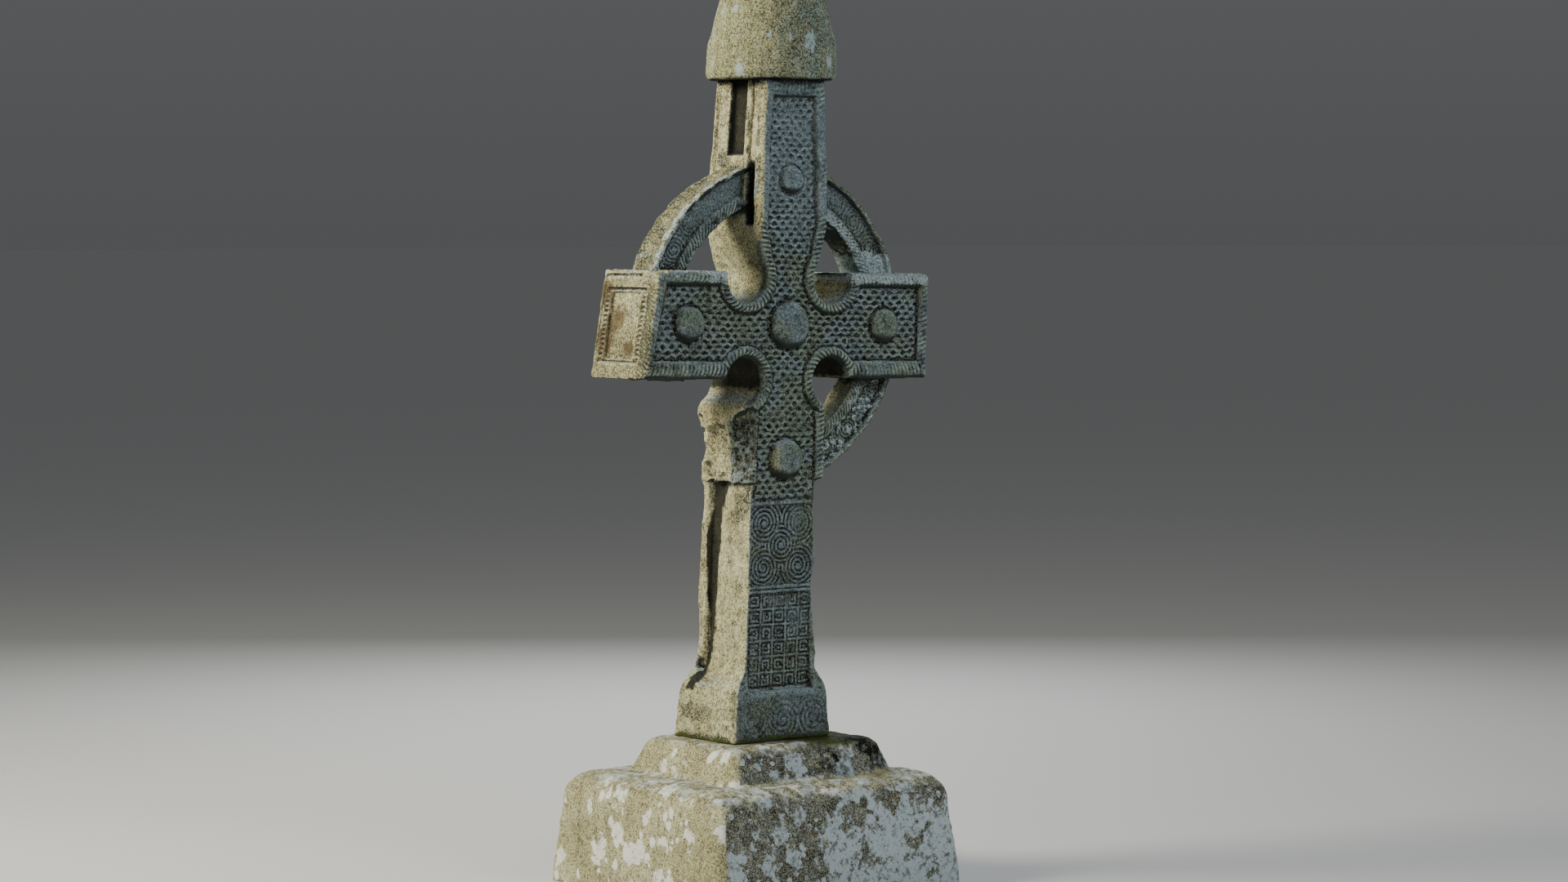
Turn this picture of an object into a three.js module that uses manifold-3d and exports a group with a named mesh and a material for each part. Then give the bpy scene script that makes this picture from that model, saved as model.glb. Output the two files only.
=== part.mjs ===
// A ringed memorial cross of carved sandstone: one stone for the shaft, arms and ring, a round capstone that
// rests on its top, and a stepped plinth that it stands on. Millimetres, +Z up. The carved front looks
// towards -Y, the arms run along X, and the origin lies on the ground under the middle of the plinth.

import * as THREE from 'three';
import { mergeVertices } from 'three/addons/utils/BufferGeometryUtils.js';
import Module from 'manifold-3d';

// Plinth: a battered block with a smaller battered step on its top, all one stone
const PLINTH_WIDTH = 1220;
const PLINTH_DEPTH = 1112;
const BLOCK_HEIGHT = 430;
const BLOCK_BATTER_X = 36;
const BLOCK_BATTER_Y = 56;
const BLOCK_CORNER = 60;
const BLOCK_SHOULDER = 48;
const STEP_WIDTH = 694;
const STEP_DEPTH = 572;
const STEP_HEIGHT = 140;
const STEP_BATTER_X = 50;
const STEP_BATTER_Y = 56;
const STEP_CORNER = 40;
const STEP_SHOULDER = 20;
const STEP_SHIFT_X = 18;
const STEP_SHIFT_Y = -12;

// How the cross has settled on its plinth
const JOINT_GAP = 0.3;
const SEAT_SHIFT_X = -12;
const SEAT_SHIFT_Y = 10;
const LEAN_X = 0.0227;
const LEAN_Y = -0.0187;
const HEAD_DIP = 0.018;

// Shaft
const CROSS_HEIGHT = 2546;
const HEAD_RISE = 1604;
const COLLAR_WIDTH = 474;
const COLLAR_DEPTH = 396;
const COLLAR_HEIGHT = 168;
const COLLAR_TAPER = 12;
const FLARE_HEIGHT = 120;
const SHAFT_WIDTH = 322;
const SHAFT_DEPTH = 304;
const UPPER_WIDTH = 334;
const UPPER_TOP_WIDTH = 298;
const UPPER_STEP = 11;

// Head: the arms, the hollows between them, and the ring
const ARM_SPAN = 1400;
const ARM_RISE = 202;
const ARM_DROP = 208;
const HEAD_DEPTH = 330;
const NECK_WIDTH = 230;
const UPPER_HOLLOW = 97;
const LOWER_HOLLOW = 88;
const HOLLOW_SINK = 24;
const UPPER_SPUR = 127;
const LOWER_SPUR = 110;
const CABLE_DROP = 600;
const CABLE_STEP = 26;
const RING_RADIUS = 630;
const RING_WIDTH = 153;
const RING_THICKNESS = 144;
const RING_ROLL = 34;
const RING_SINK = 13;
const RING_STUB = 22;
const WORN_END = 45;

// Mouldings and carved fields
const EDGE_ROLL = 46;
const ARM_TOP_ROLL = 54;
const ARM_FOOT_ROLL = 66;
const ARM_END_ROLL = 50;
const HOLLOW_ROLL = 40;
const ROLL_RISE = 14;
const CABLE_TURN = 56;
const CABLE_DEEP = 6;
const PANEL_SINK = 20;
const KNOT_PITCH = 47;
const KNOT_RISE = 11;
const BOSS_RISE = 56;
const CENTRE_BOSS = 88;
const ARM_BOSS = 74;
const UPPER_BOSS = 67;
const LOWER_BOSS = 78;
const ARM_BOSS_INSET = 219;
const UPPER_BOSS_Z = 558;
const LOWER_BOSS_Z = 516;
const TOP_FRAME = 66;
const FIELD_DROP = 672;
const BAND_HEIGHT = 30;
const BAND_RISE = 7;
const SCROLL_HEIGHT = 310;
const FRET_RISE = 6;
const FRET_LINE = 14;
const FRET_COLUMNS = 4;
const FRET_ROWS = 4;
const FRET_MARGIN = 16;
const SIDE_PANEL_WIDTH = 184;
const SIDE_PANEL_SINK = 30;
const SIDE_PANEL_FOOT = 195;
const SIDE_PANEL_DROP = 620;
const TOP_SIDE_PANEL = 118;
const END_PANEL_WIDTH = 208;
const END_PANEL_SINK = 9;

// Capstone: a round beehive cap with a broad belt
const CAP_BELT_RADIUS = 254;
const CAP_BELT_HEIGHT = 156;
const CAP_HEIGHT = 500;
const CAP_LIP = 16;
const CAP_NECK_RADIUS = 238;

// Where the levels of the cross come out
const seatZ = BLOCK_HEIGHT + STEP_HEIGHT;
const footZ = seatZ + JOINT_GAP;
const headZ = seatZ + HEAD_RISE;
const topZ = seatZ + CROSS_HEIGHT;
const collarTopZ = seatZ + COLLAR_HEIGHT;
const shaftFootZ = collarTopZ + FLARE_HEIGHT;
const fieldFootZ = headZ - FIELD_DROP;
const scrollFootZ = fieldFootZ - BAND_HEIGHT - SCROLL_HEIGHT;
const fretTopZ = scrollFootZ - BAND_HEIGHT;
const fretFootZ = collarTopZ + FRET_MARGIN;
const FAR = 2 * (ARM_SPAN + RING_RADIUS);

const wasm = await Module();
wasm.setup();

// Closed geometry to solid, and back

function solid(geometry) {
  const bare = geometry.clone();
  bare.deleteAttribute('normal');
  bare.deleteAttribute('uv');
  const merged = mergeVertices(bare, 1e-3);
  const vertProperties = new Float32Array(merged.attributes.position.array);
  const triVerts = new Uint32Array(merged.index.array);
  return new wasm.Manifold(new wasm.Mesh({ numProp: 3, vertProperties, triVerts }));
}

function surface(body) {
  const mesh = body.getMesh();
  const geometry = new THREE.BufferGeometry();
  geometry.setAttribute('position', new THREE.Float32BufferAttribute(mesh.vertProperties, 3));
  geometry.setIndex(Array.from(mesh.triVerts));
  geometry.computeVertexNormals();
  return geometry;
}

const unite = (bodies) => bodies.reduce((whole, body) => whole.add(body));

// Shapes: outlines seen from the front are [x, z] points, and outlines seen from the side are [y, z] points

const shapeOf = (points) => new THREE.Shape(points.map(([u, v]) => new THREE.Vector2(u, v)));

function acrossDepth(points, nearY, farY) {
  const geometry = new THREE.ExtrudeGeometry(shapeOf(points), { depth: farY - nearY, bevelEnabled: false });
  geometry.rotateX(Math.PI / 2);
  geometry.translate(0, farY, 0);
  return solid(geometry);
}

function acrossWidth(points, lowX, highX) {
  const geometry = new THREE.ExtrudeGeometry(shapeOf(points), { depth: highX - lowX, bevelEnabled: false });
  geometry.rotateX(Math.PI / 2);
  geometry.rotateZ(Math.PI / 2);
  geometry.translate(lowX, 0, 0);
  return solid(geometry);
}

function box(lowX, highX, lowY, highY, lowZ, highZ) {
  const geometry = new THREE.BoxGeometry(highX - lowX, highY - lowY, highZ - lowZ);
  geometry.translate((lowX + highX) / 2, (lowY + highY) / 2, (lowZ + highZ) / 2);
  return solid(geometry);
}

// A closed skin through rings of points, all with as many points and turning the same way
function skin(rings) {
  const across = rings[0].length;
  const vertices = rings.flat(2);
  const index = [];
  for (let i = 0; i + 1 < rings.length; i += 1) {
    for (let j = 0; j < across; j += 1) {
      const a = i * across + j;
      const b = i * across + ((j + 1) % across);
      index.push(a, b, b + across, a, b + across, a + across);
    }
  }
  const last = (rings.length - 1) * across;
  for (let j = 1; j + 1 < across; j += 1) {
    index.push(0, j + 1, j, last, last + j, last + j + 1);
  }
  const geometry = new THREE.BufferGeometry();
  geometry.setAttribute('position', new THREE.Float32BufferAttribute(vertices, 3));
  geometry.setIndex(index);
  return solid(geometry);
}

function roundedRectangle(halfX, halfY, corner, z, shiftX = 0, shiftY = 0) {
  const steps = 4;
  const points = [];
  for (let quarter = 0; quarter < 4; quarter += 1) {
    const signX = quarter === 0 || quarter === 3 ? 1 : -1;
    const signY = quarter < 2 ? 1 : -1;
    for (let i = 0; i <= steps; i += 1) {
      const angle = ((quarter + i / steps) * Math.PI) / 2;
      const x = signX * (halfX - corner) + corner * Math.cos(angle);
      const y = signY * (halfY - corner) + corner * Math.sin(angle);
      points.push([shiftX + x, shiftY + y, z]);
    }
  }
  return points;
}

const ease = (t) => t * t * (3 - 2 * t);
const easeBetween = (low, high, value) => ease(Math.min(1, Math.max(0, (value - low) / (high - low))));

function arc(centreX, centreZ, radius, from, to, steps) {
  const points = [];
  for (let i = 0; i <= steps; i += 1) {
    const angle = from + ((to - from) * i) / steps;
    points.push([centreX + radius * Math.cos(angle), centreZ + radius * Math.sin(angle)]);
  }
  return points;
}

// The right edge of the head, from the foot of its cable up to its top. share 0 is the outline itself, 1 is
// the inner edge of the moulding that follows it, and 0.5 is the moulding's middle line.
function headEdge(share) {
  const edge = share * EDGE_ROLL;
  const neck = NECK_WIDTH / 2;
  const cableHalf = SHAFT_WIDTH / 2 + CABLE_STEP;
  const lowRadius = LOWER_HOLLOW + share * HOLLOW_ROLL;
  const lowX = neck + LOWER_HOLLOW;
  const lowZ = headZ - ARM_DROP;
  const highRadius = UPPER_HOLLOW + share * HOLLOW_ROLL;
  const highX = neck + UPPER_HOLLOW;
  const highZ = headZ + ARM_RISE - HOLLOW_SINK;
  const armFoot = headZ - ARM_DROP + share * ARM_FOOT_ROLL;
  const armTop = headZ + ARM_RISE - share * ARM_TOP_ROLL;
  const armEnd = ARM_SPAN / 2 - share * ARM_END_ROLL;
  const lowEnd = Math.asin((armFoot - lowZ) / lowRadius);
  const highStart = Math.asin((armTop - highZ) / highRadius);
  const upperHalf = UPPER_WIDTH / 2 - edge;
  return [
    [cableHalf - edge, headZ - CABLE_DROP],
    [cableHalf - edge, lowZ - LOWER_SPUR - edge / 3],
    ...arc(lowX, lowZ, lowRadius, Math.PI * 1.28, lowEnd, 10),
    [armEnd, armFoot],
    [armEnd, armTop],
    ...arc(highX, highZ, highRadius, highStart, -Math.PI * 1.14, 11),
    [upperHalf, highZ + UPPER_SPUR + edge / 3],
    [UPPER_TOP_WIDTH / 2 - edge, topZ],
  ];
}

// The right edge of the shaft below the head, from the foot up
function shaftEdge() {
  const points = [[COLLAR_WIDTH / 2, footZ]];
  const collarTop = COLLAR_WIDTH / 2 - COLLAR_TAPER;
  for (let i = 0; i <= 5; i += 1) {
    const t = i / 5;
    points.push([collarTop + (SHAFT_WIDTH / 2 - collarTop) * ease(t), collarTopZ + FLARE_HEIGHT * t]);
  }
  points.push([SHAFT_WIDTH / 2, headZ - CABLE_DROP - CABLE_STEP]);
  return points;
}

const mirrored = (points) => points.map(([u, v]) => [-u, v]).reverse();
const symmetric = (points) => [...points, ...mirrored(points)];

function depthOutline() {
  const collarTop = COLLAR_DEPTH / 2 - COLLAR_TAPER;
  const spurZ = headZ + ARM_RISE - HOLLOW_SINK + UPPER_SPUR;
  const points = [[COLLAR_DEPTH / 2, footZ]];
  for (let i = 0; i <= 4; i += 1) {
    const t = i / 4;
    points.push([collarTop + (SHAFT_DEPTH / 2 - collarTop) * ease(t), collarTopZ + FLARE_HEIGHT * t]);
  }
  points.push([SHAFT_DEPTH / 2, headZ - CABLE_DROP - CABLE_STEP]);
  points.push([HEAD_DEPTH / 2, headZ - CABLE_DROP]);
  points.push([HEAD_DEPTH / 2, spurZ]);
  points.push([HEAD_DEPTH / 2 - UPPER_STEP, spurZ + CABLE_STEP]);
  points.push([HEAD_DEPTH / 2 - UPPER_STEP, topZ]);
  return symmetric(points);
}

// The ring: a lathed wheel with a roll along each edge of its faces
function ring() {
  const inner = RING_RADIUS - RING_WIDTH;
  const half = RING_THICKNESS / 2;
  const floor = half - RING_SINK;
  const soft = RING_ROLL / 4;
  const face = [
    [inner, half - soft],
    [inner + soft, half],
    [inner + RING_ROLL - soft, half],
    [inner + RING_ROLL, floor],
    [RING_RADIUS - RING_ROLL, floor],
    [RING_RADIUS - RING_ROLL + soft, half],
    [RING_RADIUS - soft, half],
    [RING_RADIUS, half - soft],
  ];
  const back = face.map(([r, y]) => [r, -y]);
  const profile = [...back, ...face.slice().reverse(), back[0]].map(([r, y]) => new THREE.Vector2(r, y));
  const wheel = new THREE.LatheGeometry(profile, 36);
  wheel.translate(0, 0, headZ);
  return solid(wheel).subtract(lostQuarter());
}

// The moulding along the edge of the head: half round, its sides running straight down into the stone. A cable
// has strands that cross it slantwise, and a plain roll has none.
function moulding(side, hand, spacing, cabled) {
  const shares = [0.02, 0.28, 0.72, 1.02];
  const rows = shares.map((share) => headEdge(share));
  const middle = rows[1];
  const base = HEAD_DEPTH / 2 - 2 * PANEL_SINK;
  const edge = HEAD_DEPTH / 2 - ROLL_RISE;
  const lip = HEAD_DEPTH / 2 - PANEL_SINK + KNOT_RISE + 1;
  const sections = [];
  for (let i = 0; i + 1 < middle.length; i += 1) {
    const length = Math.hypot(middle[i + 1][0] - middle[i][0], middle[i + 1][1] - middle[i][1]);
    const parts = Math.max(1, Math.round(length / spacing));
    const last = i + 2 === middle.length ? parts : parts - 1;
    for (let part = 0; part <= last; part += 1) {
      const t = part / parts;
      const across = rows.map((row) => [0, 1].map((axis) => row[i][axis] * (1 - t) + row[i + 1][axis] * t));
      const crown = across.map(([x, z], k) => {
        const strand = cabled && (sections.length + k) % 2 === 0 ? CABLE_DEEP : 0;
        const bulge = Math.sin(Math.PI * Math.min(0.94, Math.max(0.06, shares[k])));
        const height = k + 1 === across.length ? lip : edge + 2 * ROLL_RISE * bulge - strand;
        return [hand * x, side * height, z];
      });
      const foot = (k) => [hand * across[k][0], side * base, across[k][1]];
      const section = [foot(0), ...crown, foot(across.length - 1)];
      sections.push(side * hand < 0 ? section.reverse() : section);
    }
  }
  return skin(sections);
}

function mouldings() {
  return [-1, 1].flatMap((hand) => [moulding(-1, hand, CABLE_TURN, true), moulding(1, hand, FAR, false)]);
}

// A boss is a low dome with a steep foot
function boss(x, z, radius, side) {
  const profile = [[0, 0], [1, 0], [0.95, 0.42], [0.66, 0.84], [0, 1]];
  const points = profile.map(([reach, share]) => new THREE.Vector2(reach * radius, share * BOSS_RISE));
  const dome = new THREE.LatheGeometry(points, 12);
  if (side < 0) {
    dome.rotateX(Math.PI);
  }
  dome.translate(x, side * (HEAD_DEPTH / 2 - PANEL_SINK - 1), z);
  return solid(dome);
}

function bosses(side) {
  const armX = ARM_SPAN / 2 - ARM_BOSS_INSET;
  return [
    boss(0, headZ, CENTRE_BOSS, side),
    boss(-armX, headZ, ARM_BOSS, side),
    boss(armX, headZ, ARM_BOSS, side),
    boss(0, headZ + UPPER_BOSS_Z, UPPER_BOSS, side),
    boss(0, headZ - LOWER_BOSS_Z, LOWER_BOSS, side),
  ];
}

// The field inside the mouldings, from the first band up to the frame under the cap
function fieldOutline() {
  const edge = headEdge(1);
  const [[spurX, spurZ], [topX]] = edge.slice(-2);
  const fieldTopZ = topZ - TOP_FRAME;
  const share = (fieldTopZ - spurZ) / (topZ - spurZ);
  edge[0][1] = fieldFootZ;
  edge[edge.length - 1] = [spurX + (topX - spurX) * share, fieldTopZ];
  return symmetric(edge);
}

// Interlace: ribs that cross on a square grid, with a pit in each gap between them
function interlace(outline, floorY) {
  const columns = Math.ceil(ARM_SPAN / 2 / KNOT_PITCH);
  const lowRow = Math.floor(-FIELD_DROP / KNOT_PITCH);
  const highRow = Math.ceil((CROSS_HEIGHT - HEAD_RISE) / KNOT_PITCH);
  const grid = (i, j) => [i * KNOT_PITCH, floorY - ((i + j) % 2 === 0 ? KNOT_RISE : 1), headZ + j * KNOT_PITCH];
  const vertices = [];
  const index = [];
  const wide = 2 * columns + 1;
  for (let j = lowRow; j <= highRow; j += 1) {
    for (let i = -columns; i <= columns; i += 1) {
      vertices.push(...grid(i, j));
    }
  }
  const high = highRow - lowRow + 1;
  const backY = floorY + PANEL_SINK;
  const corners = vertices.length / 3;
  for (const [i, j] of [[-columns, lowRow], [columns, lowRow], [columns, highRow], [-columns, highRow]]) {
    vertices.push(i * KNOT_PITCH, backY, headZ + j * KNOT_PITCH);
  }
  for (let j = 0; j + 1 < high; j += 1) {
    for (let i = 0; i + 1 < wide; i += 1) {
      const a = j * wide + i;
      const b = a + 1;
      const c = b + wide;
      const d = a + wide;
      const ribFromA = (i - columns + j + lowRow) % 2 === 0;
      index.push(...(ribFromA ? [a, b, c, a, c, d] : [a, b, d, b, c, d]));
    }
  }
  const [p, q, r, s] = [corners, corners + 1, corners + 2, corners + 3];
  index.push(p, r, q, p, s, r);
  const fan = (from, to, step, hub, end) => {
    for (let a = from; a !== to; a += step) {
      index.push(hub, a + step, a);
    }
    index.push(hub, end, to);
  };
  fan(0, wide - 1, 1, p, q);
  fan(wide - 1, wide * high - 1, wide, q, r);
  fan(wide * high - 1, wide * (high - 1), -1, r, s);
  fan(wide * (high - 1), 0, -wide, s, p);
  const geometry = new THREE.BufferGeometry();
  geometry.setAttribute('position', new THREE.Float32BufferAttribute(vertices, 3));
  geometry.setIndex(index);
  const sheet = solid(geometry);
  return sheet.intersect(acrossDepth(outline, -FAR, FAR));
}

// The two flat bands, the scrolls and the frets on the front of the shaft
function bands() {
  const half = SHAFT_WIDTH / 2 - FRET_MARGIN;
  const face = SHAFT_DEPTH / 2;
  return [fieldFootZ, scrollFootZ].flatMap((z) => {
    const line = BAND_HEIGHT / 3;
    return [0, 2].map((k) => box(-half, half, -face - BAND_RISE, -face + 1, z - (k + 1) * line, z - k * line));
  });
}

// A spiral ridge that winds in to a solid eye
function spiral(x, z, radius, turns, hand, faceY) {
  const steps = Math.round(turns * 8);
  const width = radius / (turns + 0.9) / 2;
  const outer = [];
  const inner = [];
  for (let i = 0; i <= steps; i += 1) {
    const angle = (i / steps) * turns * 2 * Math.PI;
    const reach = radius - (radius - width) * (i / steps);
    outer.push([x + hand * reach * Math.cos(angle), z + reach * Math.sin(angle)]);
    inner.push([x + hand * (reach - width) * Math.cos(angle), z + (reach - width) * Math.sin(angle)]);
  }
  inner[steps] = [x, z];
  return acrossDepth([...outer, ...inner.reverse()], faceY - FRET_RISE, faceY + 2);
}

function scrolls() {
  const middle = (fieldFootZ - BAND_HEIGHT + scrollFootZ) / 2;
  const radius = SCROLL_HEIGHT / 4.6;
  const spread = SHAFT_WIDTH / 2 - radius - FRET_MARGIN;
  const lift = SCROLL_HEIGHT / 2 - radius - FRET_MARGIN / 2;
  const face = -SHAFT_DEPTH / 2;
  const corners = [[-1, 1], [1, 1], [-1, -1], [1, -1]];
  return corners.map(([u, v]) => spiral(u * spread, middle + v * lift, radius * 0.98, 2.5, u * v, face));
}

function collarScrolls() {
  const radius = (COLLAR_HEIGHT - 2 * FRET_MARGIN) / 2;
  const spread = COLLAR_WIDTH / 2 - radius - FRET_MARGIN;
  const middle = seatZ + COLLAR_HEIGHT / 2;
  const face = -COLLAR_DEPTH / 2 + COLLAR_TAPER;
  return [-spread, 0, spread].map((x, i) => spiral(x, middle, radius * 0.96, 1.5, i === 1 ? -1 : 1, face));
}

// A fret is a square hook: up, over, down, back to the middle and up again
function frets() {
  const half = SHAFT_WIDTH / 2 - FRET_MARGIN;
  const wide = (2 * half) / FRET_COLUMNS;
  const tall = (fretTopZ - fretFootZ - FRET_MARGIN) / FRET_ROWS;
  const face = -SHAFT_DEPTH / 2;
  const w = FRET_LINE;
  const bodies = [];
  for (let row = 0; row < FRET_ROWS; row += 1) {
    for (let column = 0; column < FRET_COLUMNS; column += 1) {
      const middleX = -half + (column + 0.5) * wide;
      const middleZ = fretFootZ + FRET_MARGIN / 2 + (row + 0.5) * tall;
      const u = (wide - w * 0.8) / 2;
      const v = (tall - w * 0.8) / 2;
      const eye = v - 2.2 * w;
      const hook = [
        [-u, -v], [-u, v], [u, v], [u, -v], [-w / 2, -v], [-w / 2, eye],
        [w / 2, eye], [w / 2, -v + w], [u - w, -v + w], [u - w, v - w], [-u + w, v - w], [-u + w, -v],
      ];
      const turn = (row + column) % 2 === 0 ? 1 : -1;
      const points = hook.map(([x, z]) => [middleX + turn * x, middleZ + turn * z]).reverse();
      bodies.push(acrossDepth(points, face - FRET_RISE, face + 1));
    }
  }
  return bodies;
}

// Sunk panels: down each side of the shaft, beside the top arm, and on the end of each arm
function sidePanels() {
  const cuts = [];
  const half = SIDE_PANEL_WIDTH / 2;
  const foot = seatZ + SIDE_PANEL_FOOT;
  const top = headZ - SIDE_PANEL_DROP;
  const groove = [[-half, foot + half / 2], [-half / 2, foot], [half / 2, foot], [half, foot + half / 2]];
  const outline = [...groove, [half, top], [-half, top]];
  const topOutline = symmetric([
    [TOP_SIDE_PANEL / 2, headZ + RING_RADIUS + RING_ROLL],
    [TOP_SIDE_PANEL / 2, topZ + 1],
  ]);
  const endHalf = END_PANEL_WIDTH / 2;
  const endOutline = symmetric([
    [endHalf, headZ - ARM_DROP + ARM_FOOT_ROLL],
    [endHalf, headZ + ARM_RISE - ARM_TOP_ROLL],
  ]);
  for (const side of [-1, 1]) {
    const cut = (points, from, to) => acrossWidth(points, Math.min(side * from, side * to), Math.max(side * from, side * to));
    cuts.push(cut(outline, SHAFT_WIDTH / 2 - SIDE_PANEL_SINK, SHAFT_WIDTH / 2 + 1));
    cuts.push(cut(topOutline, UPPER_TOP_WIDTH / 2 - SIDE_PANEL_SINK, UPPER_WIDTH / 2 + 1));
    cuts.push(cut(endOutline, ARM_SPAN / 2 - END_PANEL_SINK, FAR));
  }
  return cuts;
}

// The losses: the lower left quarter of the ring, the corner that it tore from the shaft, and a worn arm end
function lostQuarter() {
  const shaftStub = -SHAFT_WIDTH / 2 + 10;
  const armStub = headZ - ARM_DROP - RING_STUB;
  const points = [[shaftStub, armStub], [-FAR, armStub + RING_STUB], [-FAR, headZ - FAR], [shaftStub, headZ - FAR]];
  return acrossDepth(points, -FAR, FAR);
}

function scar() {
  const face = SHAFT_WIDTH / 2;
  const deep = HEAD_DEPTH / 2;
  const levels = [
    [-LOWER_SPUR - ARM_DROP - 8, 0.02, 0.1],
    [-LOWER_SPUR - ARM_DROP - 50, 0.36, 0.8],
    [-CABLE_DROP + 90, 0.4, 1.0],
    [-CABLE_DROP - 12, 0.26, 0.55],
    [-CABLE_DROP - 62, 0.02, 0.06],
  ];
  return skin(levels.map(([rise, bite, reach]) => {
    const z = headZ + rise;
    const frontX = -face * (1.16 - bite);
    const backX = -face * (1.12 - bite / 2.4);
    const turnY = -deep + deep * reach;
    return [
      [frontX, -deep - 40, z],
      [frontX, -deep + 6, z],
      [(frontX + backX) / 2 - 6, (turnY - deep) / 2 + 14, z],
      [backX, turnY, z],
      [backX - 6, deep + 40, z],
      [-2 * face, deep + 40, z],
      [-2 * face, -deep - 40, z],
    ].reverse();
  }));
}

function wornEnd() {
  const end = -ARM_SPAN / 2;
  const top = headZ + ARM_RISE + ROLL_RISE;
  const foot = headZ - ARM_DROP;
  return acrossDepth([[end - ROLL_RISE, foot], [end + WORN_END, top], [end - ARM_END_ROLL, top]], -FAR, FAR);
}

// The stone has settled as one: each height shifts with the lean, and the arms dip to the right
function settled(body, dips = true) {
  const geometry = surface(body);
  const points = geometry.attributes.position;
  for (let i = 0; i < points.count; i += 1) {
    const [x, y, z] = [points.getX(i), points.getY(i), points.getZ(i)];
    const below = easeBetween(headZ - CABLE_DROP, headZ - ARM_DROP, z);
    const above = 1 - easeBetween(headZ + ARM_RISE, headZ + RING_RADIUS, z);
    const dip = dips ? HEAD_DIP * x * below * above : 0;
    const height = z - seatZ;
    points.setXYZ(i, x + SEAT_SHIFT_X + LEAN_X * height, y + SEAT_SHIFT_Y + LEAN_Y * height, z - dip);
  }
  geometry.computeVertexNormals();
  return geometry;
}

function ringedCross() {
  const front = acrossDepth(symmetric([...shaftEdge(), ...headEdge(0)]), -FAR, FAR);
  const body = front.intersect(acrossWidth(depthOutline(), -FAR, FAR));
  const floor = HEAD_DEPTH / 2 - PANEL_SINK;
  const field = fieldOutline();
  const carved = body
    .subtract(acrossDepth(field, -FAR, -floor))
    .subtract(acrossDepth(field, floor, FAR));
  const faces = [interlace(field, -floor), ...bosses(-1), ...bosses(1), ...bands(), ...scrolls(), ...frets(), ...collarScrolls()];
  const moulded = unite([carved, ...mouldings()]).subtract(wornEnd());
  const trimmed = moulded.subtract(acrossWidth([[-FAR, topZ], [FAR, topZ], [FAR, topZ + FAR], [-FAR, topZ + FAR]], -FAR, FAR));
  const whole = unite([trimmed, ring(), ...faces]);
  const cut = [...sidePanels(), scar()].reduce((stone, loss) => stone.subtract(loss), whole);
  return settled(cut);
}

function plinth() {
  const footX = PLINTH_WIDTH / 2;
  const footY = PLINTH_DEPTH / 2;
  const block = [0, 0.5, 1].map((share) => {
    const height = share * (BLOCK_HEIGHT - BLOCK_SHOULDER);
    const lean = height / BLOCK_HEIGHT;
    return roundedRectangle(footX - BLOCK_BATTER_X * lean, footY - BLOCK_BATTER_Y * lean, BLOCK_CORNER, height);
  });
  for (const angle of [0.5, 1, 1.5]) {
    const inset = BLOCK_SHOULDER * (1 - Math.cos(angle));
    const height = BLOCK_HEIGHT - BLOCK_SHOULDER * (1 - Math.sin(angle));
    block.push(roundedRectangle(footX - BLOCK_BATTER_X - inset, footY - BLOCK_BATTER_Y - inset, BLOCK_CORNER, height));
  }
  const stepX = STEP_WIDTH / 2;
  const stepY = STEP_DEPTH / 2;
  const level = (x, y, z) => roundedRectangle(x, y, STEP_CORNER, z, STEP_SHIFT_X, STEP_SHIFT_Y);
  const step = [
    level(stepX + STEP_BATTER_X, stepY + STEP_BATTER_Y, BLOCK_HEIGHT - STEP_SHOULDER),
    level(stepX + STEP_BATTER_X, stepY + STEP_BATTER_Y, BLOCK_HEIGHT),
    level(stepX, stepY, seatZ - STEP_SHOULDER),
    level(stepX - STEP_SHOULDER / 3, stepY - STEP_SHOULDER / 3, seatZ - STEP_SHOULDER / 3),
    level(stepX - STEP_SHOULDER, stepY - STEP_SHOULDER, seatZ),
  ];
  return surface(skin(block).add(skin(step)));
}

function capstone() {
  const seat = topZ + JOINT_GAP;
  const belt = [
    [0, 0],
    [CAP_BELT_RADIUS - CAP_LIP, 0],
    [CAP_BELT_RADIUS - CAP_LIP / 4, CAP_LIP / 2],
    [CAP_BELT_RADIUS, CAP_LIP * 1.6],
    [CAP_BELT_RADIUS - 2, CAP_BELT_HEIGHT - CAP_LIP],
    [CAP_NECK_RADIUS, CAP_BELT_HEIGHT],
  ];
  const rise = CAP_HEIGHT - CAP_BELT_HEIGHT;
  const dome = [[0.42, 0.86], [0.66, 0.75], [0.84, 0.6], [0.95, 0.4]].map(([height, reach]) => {
    return [CAP_NECK_RADIUS * reach, CAP_BELT_HEIGHT + rise * height];
  });
  const tip = [[0, CAP_HEIGHT]];
  const profile = [...belt, ...dome, ...tip].map(([r, z]) => new THREE.Vector2(r, z));
  const cap = new THREE.LatheGeometry(profile, 26);
  cap.rotateX(Math.PI / 2);
  cap.translate(0, 0, seat);
  return settled(solid(cap), false);
}

const stone = (color) => new THREE.MeshStandardMaterial({ color, roughness: 0.92, metalness: 0 });

function piece(name, geometry, color) {
  const mesh = new THREE.Mesh(geometry, stone(color));
  mesh.name = name;
  return mesh;
}

const memorial = new THREE.Group();
memorial.add(piece('plinth', plinth(), 0x9a9683));
memorial.add(piece('ringed_cross', ringedCross(), 0x6c7467));
memorial.add(piece('capstone', capstone(), 0x8a8b6c));

export default memorial;
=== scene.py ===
# The looks of a ringed memorial cross: one carved stone that stands on a stepped plinth under a round cap.
# Metres, +Z up, and the carved front looks towards -Y, as in the solids. The carving is worked out in
# millimetres on a fine grid, in the upright place that the stone had before it settled and leaned.

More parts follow.
